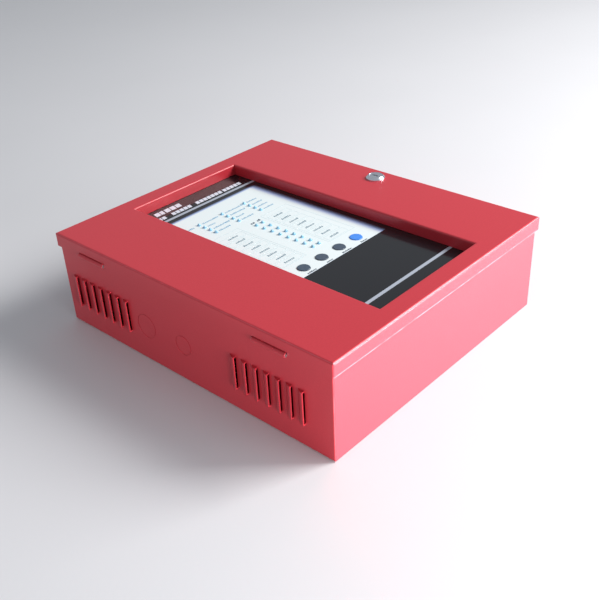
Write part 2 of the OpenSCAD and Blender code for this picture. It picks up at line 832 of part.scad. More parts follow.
low_plug_z = board_top_z + header_size.z - plug_seat;
high_plug_z = pcb_under_z - header_size.z + plug_seat - plug_size.z;
ribbon_low_z = low_plug_z + plug_size.z - 2.4;
ribbon_high_z = high_plug_z + 2.4;

// Crimped plugs on the ribbon's two ends, each with a slot the ribbon lies in
module ribbon_plugs() {
    color([0.3, 0.3, 0.32]) for (level = [[low_plug_z, ribbon_low_z],
        [high_plug_z, ribbon_high_z]]) difference() {
        block_at(header_x, header_y, level[0], plug_size);
        block_at(header_x, header_y - 1, level[1] - ribbon_t / 2 - 0.1,
            [ribbon_w + 2 * gap, plug_size.y, ribbon_t + 0.2]);
    }
}

// Flat ribbon from the main board's plug round to the display board's plug
module ribbon_cable() {
    bend = (ribbon_high_z - ribbon_low_z) / 2;
    mid_z = (ribbon_high_z + ribbon_low_z) / 2;
    end_y = header_y - plug_size.y / 2 - ribbon_lead;
    turns = [for (i = [0:ribbon_steps]) 90 + 180 * i / ribbon_steps];
    color([0.62, 0.63, 0.66]) translate([header_x, 0, 0]) rotate([90, 0, 90])
        linear_extrude(ribbon_w, center = true) polygon(concat(
            [[header_y, ribbon_high_z + ribbon_t / 2]],
            [for (a = turns) [end_y, mid_z] + (bend + ribbon_t / 2) * [cos(a), sin(a)]],
            [[header_y, ribbon_low_z - ribbon_t / 2], [header_y, ribbon_low_z + ribbon_t / 2]],
            [for (i = [ribbon_steps:-1:0])
                [end_y, mid_z] + (bend - ribbon_t / 2) * [cos(turns[i]), sin(turns[i])]],
            [[header_y, ribbon_high_z - ribbon_t / 2]]));
}

// ---------------------------------------------------------------- main board

board_fix = [for (sx = [-1, 1], dy = [board_inset - board_h / 2, board_mid_fix,
    board_h / 2 - board_inset]) [board_x + sx * (board_w / 2 - board_inset), board_y + dy]];

module main_pcb() {
    color(board_green) difference() {
        translate([board_x, board_y, board_z]) linear_extrude(board_t)
            round_rect(board_w, board_h, 2);
        for (p = board_fix)
            post_at(p.x, p.y, board_z - over, screw_r + gap, board_t + 2 * over);
    }
}

module main_pcb_standoffs() {
    color(steel) for (p = board_fix) difference() {
        hex_at(p.x, p.y, sheet_t, 6, standoff_h);
        post_at(p.x, p.y, sheet_t + 1, screw_r + tapped_gap, standoff_h);
    }
}

module main_pcb_screws() {
    color(steel) for (p = board_fix)
        screw_at(p.x, p.y, board_top_z, screw_r, board_t + standoff_h - 3);
}

block_w = block_ways * way;
function way_x(i) = (i - (block_ways - 1) / 2) * way;

// Screw terminal block, wires entering from its front at -Y, screws on top
module terminal_block() {
    difference() {
        rotate([90, 0, 90]) linear_extrude(block_w - 0.1, center = true)
            polygon([[-block_depth / 2, 0], [block_depth / 2, 0],
                [block_depth / 2, block_h - 3], [block_depth / 2 - 2, block_h],
                [-block_depth / 2 + 4, block_h], [-block_depth / 2, block_h - 5]]);
        for (i = [0:block_ways - 1]) {
            block_at(way_x(i), -block_depth / 2, 2, [3.4, 10, 3.6]);
            post_at(way_x(i), 1, block_h - 4, 1.9, 5);
        }
    }
}

// Places its children at each block of a group, on the main board
module at_zone_blocks() {
    for (i = [0:zone_blocks - 1]) translate([board_x + (i - (zone_blocks - 1) / 2) * block_w
        + (i < zone_blocks / 2 ? -6 : 6), board_y + board_h / 2 - block_depth / 2 - 1,
        board_top_z]) rotate([0, 0, 180]) children();
}

module at_output_blocks() {
    for (i = [0:output_blocks - 1]) translate([board_x - board_w / 2 + block_depth / 2 + 1,
        board_y - 52 + i * (block_w + 0.4), board_top_z]) rotate([0, 0, -90]) children();
}

module at_power_blocks() {
    translate([power_x, board_y - board_h / 2 + block_depth / 2 + 1, board_top_z]) children();
}

module zone_terminals() { color([0.16, 0.5, 0.28]) at_zone_blocks() terminal_block(); }
module output_terminals() { color([0.16, 0.5, 0.28]) at_output_blocks() terminal_block(); }
module power_terminals() { color([0.16, 0.5, 0.28]) at_power_blocks() terminal_block(); }

// Slotted clamp screws in the wells of every terminal block
module clamp_screws() {
    for (i = [0:block_ways - 1]) difference() {
        post_at(way_x(i), 1, block_h - 4, 1.7, 2.6);
        block_at(way_x(i), 1, block_h - 2.2, [0.6, 4, 2]);
    }
}

module terminal_screws() {
    color(steel) {
        at_zone_blocks() clamp_screws();
        at_output_blocks() clamp_screws();
        at_power_blocks() clamp_screws();
    }
}

module main_chips() {
    color(dark) {
        block_at(-72, 38, board_top_z, [52, 14, 4]);
        for (x = [-112, -84, -56]) block_at(x, 84, board_top_z, [20, 7, 3.6]);
        for (x = [-28, 0, 28]) block_at(x, 84, board_top_z, [20, 7, 3.6]);
        block_at(-72, 8, board_top_z, [20, 7, 3.6]);
    }
}

module relays() {
    color([0.12, 0.22, 0.42]) for (i = [0:relay_n - 1])
        block_at(-98 + i * 20, -24, board_top_z, relay_size);
}

// Electrolytic capacitors, each with a shallow rim groove near its foot
module capacitors() {
    color([0.1, 0.12, 0.16]) for (c = cap_places) {
        x = c[0];
        y = c[1];
        rotate_at(x, y) polygon([[0, 0], [c[2], 0], [c[2], 2], [c[2] - 0.4, 2.6],
            [c[2], 3.2], [c[2], c[3] - 0.6], [c[2] - 0.6, c[3]], [0, c[3]]]);
    }
}

module rotate_at(x, y) {
    translate([x, y, board_top_z]) rotate_extrude() children();
}

// Finned extrusion standing on the board, open fins towards +Y
heatsink_y = 58;
heatsink_x = 38;
module heatsink() {
    step = (heatsink_size.x - fin_t) / (fin_n - 1);
    color([0.15, 0.15, 0.16]) translate([heatsink_x - heatsink_size.x / 2,
        heatsink_y - heatsink_size.y / 2, board_top_z]) {
        cube([heatsink_size.x, 3, heatsink_size.z]);
        for (i = [0:fin_n - 1])
            translate([i * step, 0, 0]) cube([fin_t, heatsink_size.y, heatsink_size.z]);
    }
}

// Two regulators with their tabs flat on the heatsink's back
module regulators() {
    back_y = heatsink_y - heatsink_size.y / 2;
    color(dark) for (x = [heatsink_x - 11, heatsink_x + 11]) {
        translate([x - 5, back_y - 4.6, board_top_z + 6]) cube([10, 4.6, 9]);
        translate([x - 5, back_y - 1.3, board_top_z + 14.9]) cube([10, 1.3, 6.5]);
        for (k = [-1, 0, 1]) block_at(x + k * 2.54, back_y - 2.6, board_top_z,
            [0.8, 0.6, 6.1]);
    }
}

// Glass fuses lying in their clips
module board_fuses() {
    color([0.8, 0.82, 0.84]) for (i = [0:2]) translate([-24 + i * 12, -20, board_top_z]) {
        for (s = [-1, 1]) block_at(0, s * 8, 0, [6.4, 4.6, 3.4]);
        translate([0, 10, 4.4]) rotate([90, 0, 0]) cylinder(r = 2.6, h = 20);
        for (s = [-1, 1]) block_at(0, s * 8, 0, [1.2, 4.6, 5]);
    }
}

// ---------------------------------------------------------------- power supply

trafo_z = sheet_t;
coil_z = trafo_z + leg_w;
module transformer_core() {
    color([0.35, 0.36, 0.38]) difference() {
        block_at(trafo_x, trafo_y, trafo_z, [core_t, core_w, core_h]);
        for (s = [-1, 1]) block_at(trafo_x, trafo_y + s * 1.5 * leg_w, coil_z,
            [core_t + 2 * over, leg_w, core_h - 2 * leg_w]);
    }
}

module transformer_winding() {
    color([0.85, 0.72, 0.2]) difference() {
        block_at(trafo_x, trafo_y, coil_z + coil_gap,
            [coil_w, 4 * leg_w - 2 * coil_gap, core_h - 2 * leg_w - 2 * coil_gap]);
        block_at(trafo_x, trafo_y, coil_z - over, [core_t + 2 * coil_gap,
            2 * leg_w + 2 * coil_gap, core_h]);
    }
}

foot_y = core_w / 2 + sheet_t + frame_foot / 2;
module transformer_frame() {
    color(steel) difference() {
        union() {
            block_at(trafo_x, trafo_y, trafo_z + core_h,
                [frame_w, core_w + 2 * sheet_t, sheet_t]);
            for (s = [-1, 1]) {
                block_at(trafo_x, trafo_y + s * (core_w + sheet_t) / 2, trafo_z,
                    [frame_w, sheet_t, core_h + sheet_t]);
                block_at(trafo_x, trafo_y + s * foot_y, trafo_z,
                    [frame_w, frame_foot, sheet_t]);
            }
        }
        for (s = [-1, 1]) post_at(trafo_x, trafo_y + s * foot_y, trafo_z - over,
            stud_r + gap, sheet_t + 2 * over);
    }
}

// Nut at z on a stud welded to the back plate, both as one fastener
module stud_and_nut(x, y, z) {
    post_at(x, y, sheet_t, stud_r, z - sheet_t + 6.8);
    hex_at(x, y, z, 7, 3.2);
}

module transformer_nuts() {
    color(steel) for (s = [-1, 1])
        stud_and_nut(trafo_x, trafo_y + s * foot_y, trafo_z + sheet_t);
}

mains_xs = [for (i = [-1, 0, 1]) mains_x + i * 11];
mains_hole_z = sheet_t + 5;
module mains_terminal_block() {
    color([0.9, 0.9, 0.86]) difference() {
        block_at(mains_x, mains_y, sheet_t, mains_size);
        for (x = mains_xs) {
            translate([x, mains_y + mains_size.y, mains_hole_z]) rotate([90, 0, 0])
                cylinder(r = 2.2, h = 2 * mains_size.y);
            post_at(x, mains_y, sheet_t + mains_size.z - 5, 2.6, 5 + over);
        }
    }
}

module mains_fuse_holder() {
    color(dark) difference() {
        block_at(mains_x, fuse_y, sheet_t, fuse_size);
        for (s = [-1, 1]) translate([mains_x + s * fuse_size.x / 2, fuse_y, mains_hole_z])
            rotate([0, 90, 0]) cylinder(r = wire_r + 0.6, h = 8, center = true);
    }
}

// ---------------------------------------------------------------- batteries

battery_xs = [for (s = [-1, 1]) s * (battery_w + battery_gap) / 2];
tab_xs = [for (x = battery_xs, s = [-1, 1]) x + s * (battery_w / 2 - 12)];

module batteries() {
    color([0.2, 0.21, 0.23]) for (x = battery_xs) {
        translate([x - battery_w / 2, battery_y0, battery_z0])
            cube([battery_w, battery_h - battery_lid_h, battery_d]);
        translate([x - battery_w / 2 + 0.6, battery_y0 + battery_h - battery_lid_h - eps,
            battery_z0 + 0.6])
            cube([battery_w - 1.2, battery_lid_h + eps, battery_d - 1.2]);
    }
}

module battery_tabs() {
    color(steel) for (x = tab_xs)
        translate([x - tab_size.x / 2, battery_top_y, tab_z]) cube(tab_size);
}

// Strap over both batteries, with a leg and a foot at each side
module battery_bracket() {
    strap_z = battery_z0 + battery_d + gap;
    color(steel) difference() {
        union() {
            block_at(0, bracket_y, strap_z, [2 * bracket_x, bracket_w, bracket_t]);
            for (s = [-1, 1]) {
                block_at(s * (bracket_x - bracket_t / 2), bracket_y, sheet_t,
                    [bracket_t, bracket_w, strap_z - sheet_t + eps]);
                block_at(s * (bracket_x + bracket_foot / 2 - eps), bracket_y, sheet_t,
                    [bracket_foot, bracket_w, bracket_t]);
            }
        }
        for (s = [-1, 1]) post_at(s * (bracket_x + bracket_foot / 2), bracket_y,
            sheet_t - over, stud_r + gap, bracket_t + 2 * over);
    }
}

module bracket_nuts() {
    color(steel) for (s = [-1, 1])
        stud_and_nut(s * (bracket_x + bracket_foot / 2), bracket_y, sheet_t + bracket_t);
}

// ---------------------------------------------------------------- wiring

tab_end = battery_top_y + tab_size.y;
power_way_z = board_top_z + 2 + 1.8;
power_y = board_y - board_h / 2 + 1;
lead_gap = 0.15;     // between a wire's end and what it is joined to
function tab_point(i) = [tab_xs[i], tab_end + lead_gap, tab_z + tab_size.z / 2];
function power_point(i) = [power_x + way_x(i), power_y + 2, power_way_z];

// A wire's straight start out of p along d, and its straight end into p
function leaves(p, d) = [p, p + 0.4 * d, p + d];
function enters(p, d) = [p + d, p + 0.4 * d, p];

// Red lead, black lead and the link between the two batteries
module battery_leads() {
    color([0.7, 0.1, 0.1]) wire(concat(leaves(tab_point(0), [0, 5, 0]), [
        [-62, power_y - 6, tab_z - 5], [-30, power_y - 8, tab_z - 16],
        [6, power_y - 9, tab_z - 30], power_point(0) + [-6, -13, 8]],
        enters(power_point(0), [0, -7, 0])));
    color(dark) wire(concat(leaves(tab_point(3), [0, 5, 0]), [
        [66, power_y - 6, tab_z - 8], [52, power_y - 8, tab_z - 22],
        power_point(1) + [7, -12, 8]], enters(power_point(1), [0, -7, 0])));
    color([0.1, 0.2, 0.6]) wire(concat(leaves(tab_point(1), [0, 4, 0]),
        [[0, tab_end + 8, tab_z]], enters(tab_point(2), [0, 4, 0])));
}

module mains_wires() {
    block_end = mains_y - mains_size.y / 2;
    block_top = mains_y + mains_size.y / 2;
    fuse_left = mains_x - fuse_size.x / 2;
    fuse_right = mains_x + fuse_size.x / 2;
    fuse_top = sheet_t + fuse_size.z;
    coil_face = trafo_x + coil_w / 2 + lead_gap;
    coil_mid_z = coil_z + core_h / 2 - leg_w;
    stud_face = earth_x + earth_r + lead_gap;
    color([0.45, 0.25, 0.12]) {
        wire(concat([[mains_xs[0], block_end + 2, mains_hole_z],
            [mains_xs[0], block_end - 1, mains_hole_z], [fuse_left - 2, fuse_y + 7, mains_hole_z],
            [fuse_left - 4.5, fuse_y + 3, mains_hole_z]],
            enters([fuse_left + 2, fuse_y, mains_hole_z], [-4, 0, 0])));
        wire(concat(leaves([fuse_right - 2, fuse_y, mains_hole_z], [5, 0, 0]),
            [[fuse_right + 6, fuse_y - 6, mains_hole_z + 3],
            [fuse_right + 7, fuse_y - 16, mains_hole_z + 12],
            [coil_face + 9, trafo_y + 22, coil_mid_z - 4]],
            enters([coil_face, trafo_y + 12, coil_mid_z], [6, 0, 0])));
    }
    color([0.1, 0.2, 0.6]) wire(concat([[mains_xs[2], block_end + 2, mains_hole_z],
        [mains_xs[2], block_end - 1.6, mains_hole_z + 1],
        [mains_xs[2], block_end - 2.6, fuse_top - 1], [mains_xs[2], fuse_y + 3, fuse_top + 4],
        [mains_xs[2] + 2, fuse_y - 6, fuse_top + 8],
        [mains_xs[2] + 8, fuse_y - 22, coil_mid_z + 4],
        [coil_face + 10, trafo_y + 8, coil_mid_z + 8]],
        enters([coil_face, trafo_y - 4, coil_mid_z + 6], [6, 0, 0])));
    color([0.3, 0.6, 0.2]) wire(concat([[mains_xs[1], block_top - 2, mains_hole_z],
        [mains_xs[1], block_top + 3, mains_hole_z],
        [mains_xs[0] - 4, block_top + 5, mains_hole_z],
        [mains_x - mains_size.x / 2 - 5, block_top, mains_hole_z],
        [mains_x - mains_size.x / 2 - 4.5, earth_y + 5, mains_hole_z + 1]],
        enters([stud_face, earth_y, sheet_t + 6], [5, 0, 0])));
}

// Two low-voltage wires from the transformer to the power block, the first outside
module secondary_wires() {
    coil_face = trafo_x - coil_w / 2 - lead_gap;
    coil_mid_z = coil_z + core_h / 2 - leg_w;
    color([0.85, 0.75, 0.2]) for (k = [0, 1])
        wire(concat(leaves([coil_face, trafo_y - 10 + 8 * k, coil_mid_z], [-4 - 2 * k, 0, 0]), [
            [coil_face - 7 - 3 * k, trafo_y - 18 + 6 * k, coil_mid_z - 2],
            [coil_face - 8 - 4 * k, trafo_y - 40, coil_mid_z - 4],
            [coil_face - 9 - 4 * k, trafo_y - 70, coil_mid_z - 7],
            [coil_face - 16 - 4 * k, power_y - 10 + 6 * k, power_way_z + 3],
            power_point(2 + k) + [10 - 3 * k, -16 + 7 * k, 1]],
            enters(power_point(2 + k), [0, -8 + 3 * k, 0])));
}

back_box();
hinge_box_leaves();
hinge_pins();
lock_keeper();
display_rails();
earth_stud();
earth_nuts();
door();
door_gasket();
hinge_door_leaves();
lock_barrel();
lock_nut();
lock_plug();
lock_cam();
lock_cam_screw();
display_plate();
display_label();
display_screws();
display_pcb();
display_spacers();
display_pcb_screws();
status_leds();
zone_leds();
button_switches();
silence_button();
test_button();
evacuate_button();
reset_button();
buzzer();
display_chips();
display_header();
ribbon_cable();
ribbon_plugs();
main_pcb();
main_pcb_standoffs();
main_pcb_screws();
zone_terminals();
output_terminals();
power_terminals();
terminal_screws();
main_chips();
relays();
capacitors();
heatsink();
regulators();
board_fuses();
main_header();
transformer_core();
transformer_winding();
transformer_frame();
transformer_nuts();
mains_terminal_block();
mains_fuse_holder();
batteries();
battery_tabs();
battery_bracket();
bracket_nuts();
battery_leads();
mains_wires();
secondary_wires();
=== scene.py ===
import math
import random

import bmesh
import bpy
from mathutils import Matrix, Vector


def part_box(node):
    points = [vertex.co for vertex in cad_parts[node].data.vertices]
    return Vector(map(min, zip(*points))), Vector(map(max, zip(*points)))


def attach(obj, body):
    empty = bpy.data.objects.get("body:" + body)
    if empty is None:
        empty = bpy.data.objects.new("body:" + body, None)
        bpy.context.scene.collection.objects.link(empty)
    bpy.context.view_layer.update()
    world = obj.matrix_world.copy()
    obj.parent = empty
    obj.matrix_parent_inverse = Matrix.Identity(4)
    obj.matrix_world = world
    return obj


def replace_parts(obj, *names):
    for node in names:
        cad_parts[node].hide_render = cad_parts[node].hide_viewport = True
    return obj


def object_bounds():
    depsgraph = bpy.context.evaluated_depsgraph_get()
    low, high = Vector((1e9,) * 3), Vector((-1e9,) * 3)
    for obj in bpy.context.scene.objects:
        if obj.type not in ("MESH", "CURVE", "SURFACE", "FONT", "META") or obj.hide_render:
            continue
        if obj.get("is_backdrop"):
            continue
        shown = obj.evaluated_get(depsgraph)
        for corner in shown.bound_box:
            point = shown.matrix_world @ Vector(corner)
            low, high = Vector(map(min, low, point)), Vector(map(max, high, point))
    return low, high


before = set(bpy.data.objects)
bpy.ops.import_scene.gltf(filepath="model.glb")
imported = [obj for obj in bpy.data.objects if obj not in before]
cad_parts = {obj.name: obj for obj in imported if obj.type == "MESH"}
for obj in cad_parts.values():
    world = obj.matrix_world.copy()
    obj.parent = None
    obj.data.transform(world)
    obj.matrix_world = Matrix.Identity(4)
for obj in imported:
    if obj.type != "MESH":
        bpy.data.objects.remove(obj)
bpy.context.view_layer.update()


# The camera stands off the panel's lower left corner, a little above it, and looks down
# across the door. It holds the whole case with a margin all round.
camera_place = Vector((-0.5412, -0.5133, 0.4671))
camera_ahead = Vector((0.62038631, 0.58762759, -0.51943685))
camera_up = Vector((0.41242951, 0.31890116, 0.85334867))
camera_lens = 52.08
camera_film = 36.0
camera_reach = (0.01, 50)


def show(name, data):
    """Puts a new object into the scene."""
    thing = bpy.data.objects.new(name, data)
    bpy.context.scene.collection.objects.link(thing)
    return thing


camera_data = bpy.data.cameras.new("camera")
camera_data.lens = camera_lens
camera_data.sensor_width = camera_film
camera_data.clip_start, camera_data.clip_end = camera_reach
camera = show("camera", camera_data)
camera_right = camera_ahead.cross(camera_up).normalized()
camera_up = camera_right.cross(camera_ahead).normalized()
turn = Matrix((camera_right, camera_up, -camera_ahead)).transposed().to_4x4()
camera.matrix_world = Matrix.Translation(camera_place) @ turn
bpy.context.scene.camera = camera


# The studio is a pale painted floor, a large key lamp high at the right front, a long narrow
# lamp low in front of the bottom wall, and an even pale room all round.
floor_colour = (0.68, 0.69, 0.71)
floor_patch_colour = tuple(0.985 * c for c in floor_colour)
floor_size = 16.0
lamp_aim = Vector((0, 0, 0.05))
lamps = [
    ("key_lamp", (1.45, -1.25, 1.40), (1.1, 1.1), 74, (1.0, 0.97, 0.96)),
    ("low_lamp", (0.10, -0.95, 0.055), (1.3, 0.09), 32, (1.0, 0.97, 0.985)),
]
room_colour = (0.90, 0.94, 1.0)
room_light = 0.40


def put(tree, kind, settings=None, **sockets):
    """Adds a shader node; a socket is given a number, a colour or another node's output."""
    node = tree.nodes.new("ShaderNode" + kind)
    for key, value in (settings or {}).items():
        setattr(node, key, value)
    for key, value in sockets.items():
        socket = node.inputs[int(key[1:]) if key[1:].isdigit() else key.replace("_", " ")]
        if isinstance(value, bpy.types.NodeSocket):
            tree.links.new(value, socket)
        else:
            socket.default_value = value
    return node


def where(tree):
    """The surface's own place in the frame, in metres."""
    return put(tree, "TexCoord").outputs["Object"]


def speckle(tree, size, detail=3.0, stretch=(1, 1, 1)):
    """Uneven pattern whose spots are about size metres across."""
    spot = put(tree, "Mapping", Vector=where(tree), Scale=stretch)
    noise = put(tree, "TexNoise", Vector=spot.outputs[0], Scale=1 / size, Detail=detail)
    return noise.outputs["Fac"]


def blend_of(tree, share, first, second):
    """Colour that goes from first to second as share goes from 0 to 1."""
    ramp = put(tree, "ValToRGB", Fac=share)
    ramp.color_ramp.elements[0].position = 0.3
    ramp.color_ramp.elements[1].position = 0.7
    ramp.color_ramp.elements[0].color = (*first, 1)
    ramp.color_ramp.elements[1].color = (*second, 1)
    return ramp.outputs["Color"]


def finish_of(name, first, second, patch, rough, grain, depth, metal=0.0, stretch=(1, 1, 1)):
    """Surface with two close colours in patches, uneven gloss and a fine raised grain."""
    finish = bpy.data.materials.new(name)
    finish.use_nodes = True
    tree = finish.node_tree
    shader = tree.nodes["Principled BSDF"]
    shader.inputs["Metallic"].default_value = metal
    tree.links.new(blend_of(tree, speckle(tree, patch), first, second), shader.inputs["Base Color"])
    gloss = put(tree, "MapRange", Value=speckle(tree, patch * 0.6, 2.0, stretch),
                To_Min=rough[0], To_Max=rough[1])
    tree.links.new(gloss.outputs[0], shader.inputs["Roughness"])
    bump = put(tree, "Bump", Height=speckle(tree, grain, 2.0, stretch), Strength=1.0, Distance=depth)
    tree.links.new(bump.outputs[0], shader.inputs["Normal"])
    return finish


def shader_of(finish):
    return finish.node_tree.nodes["Principled BSDF"]


floor_shape = bmesh.new()
bmesh.ops.create_grid(floor_shape, x_segments=8, y_segments=8, size=floor_size / 2)
floor_mesh = bpy.data.meshes.new("floor")
floor_shape.to_mesh(floor_mesh)
floor_shape.free()
floor = show("floor", floor_mesh)
floor_mesh.materials.append(finish_of("floor_paint", floor_colour, floor_patch_colour,
                                      0.25, (0.55, 0.65), 0.004, 0.00002))
floor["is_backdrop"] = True

for lamp_name, place, size, power, colour in lamps:
    lamp_data = bpy.data.lights.new(lamp_name, "AREA")
    lamp_data.shape = "RECTANGLE"
    lamp_data.size, lamp_data.size_y = size
    lamp_data.energy = power
    lamp_data.color = colour
    lamp = show(lamp_name, lamp_data)
    lamp.location = place
    lamp.visible_camera = False
    lamp.rotation_euler = (lamp_aim - Vector(place)).to_track_quat("-Z", "Y").to_euler()

room = bpy.data.worlds.new("room")
room.use_nodes = True
room.node_tree.nodes["Background"].inputs["Color"].default_value = (*room_colour, 1)
room.node_tree.nodes["Background"].inputs["Strength"].default_value = room_light
bpy.context.scene.world = room
bpy.context.scene.view_settings.view_transform = "Standard"


# The case is folded from 1.2 mm steel sheet and powder coated red inside and out, and so
# is the door. The coat has a fine orange peel. A pale painted highlight runs along the door's
# rim, the foot of its flange and the case's corners, and a dark painted shadow lies on the
# case's side walls just under the flange. The hinge leaves are welded on and coated too.
coat_red = (0.585, 0.033, 0.050)
coat_dark_red = (0.555, 0.030, 0.046)
coat_patch = 0.0016
coat_peel = 0.0011
coat_peel_depth = 0.00006
coat_gloss = (0.36, 0.44)
coat_clear, coat_clear_rough = 0.18, 0.25
coat_highlight = (0.86, 0.42, 0.47)
coat_flange_shadow = (0.26, 0.014, 0.022)
highlight_patch, highlight_share = 0.012, (0.06, 0.30)
millimetre = 0.001
# How many millimetres inside an edge each mark begins, and where it is full.
rim_highlight_reach, foot_highlight_reach = (1.0, 0.4), (-1.5, -0.7)
corner_highlight_reach, corner_highlight_below = (1.0, 0.3), (0.5, 1.0)
flange_shadow_foot, flange_shadow_top, flange_shadow_side = (1.5, 0.7), (0.0, 0.1), (0.6, 0.4)


def dress(finish, *names):
    """Gives pieces that come with the frame their finish."""
    for name in names:
        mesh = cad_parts[name].data
        mesh.materials.clear()
        mesh.materials.append(finish)


def step_up(tree, value, low, high):
    """0 below low, 1 above high, smooth between, in millimetres."""
    soft = put(tree, "MapRange", {"interpolation_type": "SMOOTHSTEP"}, Value=value,
               From_Min=low * millimetre, From_Max=high * millimetre)
    return soft.outputs[0]


def near_edge(tree, value, edge, reach):
    """0 at reach[0] millimetres inside an edge, 1 at reach[1]."""
    return step_up(tree, value, edge - reach[0], edge - reach[1])


def reckon(tree, operation, *values):
    """A number that one math node works out from others."""
    sockets = {"_" + str(k): value for k, value in enumerate(values)}
    return put(tree, "Math", {"operation": operation}, **sockets).outputs[0]


def times(tree, first, second):
    return reckon(tree, "MULTIPLY", first, second)


def lay_over(finish, share, colour):
    """Lays a second colour over a finish, as much of it as share says."""
    base = shader_of(finish).inputs["Base Color"]
    mixed = put(finish.node_tree, "MixRGB", Fac=share, Color1=base.links[0].from_socket,
                Color2=(*colour, 1))
    finish.node_tree.links.new(mixed.outputs[0], base)


powder_coat = finish_of("powder_coat", coat_red, coat_dark_red, coat_patch, coat_gloss,
                        coat_peel, coat_peel_depth)
shader_of(powder_coat).inputs["Coat Weight"].default_value = coat_clear
shader_of(powder_coat).inputs["Coat Roughness"].default_value = coat_clear_rough

tree = powder_coat.node_tree
spot = put(tree, "SeparateXYZ", Vector=where(tree))
off_x, off_y = [reckon(tree, "ABSOLUTE", spot.outputs[k]) for k in (0, 1)]
height = spot.outputs[2]
door_x, door_y, rim_top = [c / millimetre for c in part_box("door")[1]]
case_x, case_y = [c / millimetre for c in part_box("back_box")[1]][:2]
flange_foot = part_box("door")[0].z / millimetre
# Pale painted highlight, in uneven patches: along the door's rim, along the foot of its flange at the top
# and bottom walls, and down the case's upright corners below the flange.
side_x = near_edge(tree, off_x, door_x, rim_highlight_reach)
side_y = near_edge(tree, off_y, door_y, rim_highlight_reach)
rim = times(tree, reckon(tree, "MAXIMUM", side_x, side_y), near_edge(tree, height, rim_top, rim_highlight_reach))
foot = times(tree, side_y, near_edge(tree, height, flange_foot, foot_highlight_reach))
corner = times(tree, near_edge(tree, off_x, case_x, corner_highlight_reach),
               near_edge(tree, off_y, case_y, corner_highlight_reach))
corner = times(tree, corner, near_edge(tree, height, flange_foot, corner_highlight_below))
edge_highlight = reckon(tree, "MAXIMUM", reckon(tree, "MAXIMUM", rim, foot), corner)
patchy = put(tree, "MapRange", Value=speckle(tree, highlight_patch), From_Min=0.3, From_Max=0.6,
             To_Min=highlight_share[0], To_Max=highlight_share[1])
# Dark painted shadow: a thin band on the case's side walls just under the door's flange.
flange_shadow = times(tree, near_edge(tree, height, flange_foot, flange_shadow_foot),
               near_edge(tree, height, flange_foot, flange_shadow_top))
flange_shadow = times(tree, flange_shadow, near_edge(tree, off_x, case_x, flange_shadow_side))
# The painted highlight and the painted shadow below are mixed into the coat's colour.
lay_over(powder_coat, times(tree, edge_highlight, patchy.outputs[0]), coat_highlight)
lay_over(powder_coat, flange_shadow, coat_flange_shadow)
dress(powder_coat, "back_box", "door", "hinge_box_leaves", "hinge_door_leaves")


# Pressed, turned and bent steel: rails, bracket, keeper, cam, nuts, screws and pins. All are
# bright zinc plate with a faint drawn grain and pale cloudy patches.
zinc_bright = (0.66, 0.67, 0.70)
zinc_cloud = (0.52, 0.54, 0.57)

zinc_plate = finish_of("zinc_plate", zinc_bright, zinc_cloud, 0.006, (0.24, 0.42),
                       0.0009, 0.000008, metal=1.0, stretch=(1, 6, 6))
dress(zinc_plate, "display_rails", "battery_bracket", "bracket_nuts", "lock_keeper", "lock_nut",
      "lock_cam", "lock_cam_screw", "hinge_pins", "main_pcb_standoffs", "transformer_frame",
      "transformer_nuts", "battery_tabs")
zinc_turned = finish_of("zinc_turned", (0.7, 0.7, 0.72), (0.58, 0.59, 0.61), 0.002, (0.2, 0.34),
                        0.0004, 0.000006, metal=1.0)
dress(zinc_turned, "terminal_screws", "display_screws", "display_pcb_screws", "main_pcb_screws")
plain_brass = finish_of("plain_brass", (0.72, 0.52, 0.18), (0.60, 0.42, 0.14), 0.003, (0.22, 0.38),
                        0.0005, 0.000006, metal=1.0)
dress(plain_brass, "earth_stud", "earth_nuts")


# The lock is a chromed die casting in a zinc barrel. Its bevelled head and the plug's face
# were turned, so fine rings run round the keyway.
lock_axis = (0.133, 0.006, 0.0)
ring_spacing = 0.00022
ring_depth = 0.0000035

chrome = finish_of("lock_chrome", (0.84, 0.88, 0.95), (0.74, 0.79, 0.87), 0.003, (0.16, 0.27),
                   0.0006, 0.000003, metal=1.0)


def add_relief(finish, height, depth):
    """Adds a raised pattern to a finish, over its own grain."""
    normal = shader_of(finish).inputs["Normal"]
    bump = put(finish.node_tree, "Bump", Height=height, Distance=depth,
               Normal=normal.links[0].from_socket)
    finish.node_tree.links.new(bump.outputs[0], normal)


tree = chrome.node_tree
off = put(tree, "VectorMath", {"operation": "SUBTRACT"}, _0=where(tree), _1=lock_axis)
flat = put(tree, "VectorMath", {"operation": "MULTIPLY"}, _0=off.outputs[0], _1=(1, 1, 0))
reach = put(tree, "VectorMath", {"operation": "LENGTH"}, _0=flat.outputs[0]).outputs["Value"]
add_relief(chrome, reckon(tree, "SINE", times(tree, reach, math.tau / ring_spacing)), ring_depth)
dress(chrome, "lock_barrel", "lock_plug")


# A black closed-cell foam strip is stuck inside the door's rim. It rests on the case's lip
# when the door is shut, and keeps dust out.
foam_black = finish_of("foam", (0.022, 0.022, 0.024), (0.04, 0.04, 0.043), 0.0012, (0.8, 0.95),
                       0.0006, 0.00018)
dress(foam_black, "door_gasket")


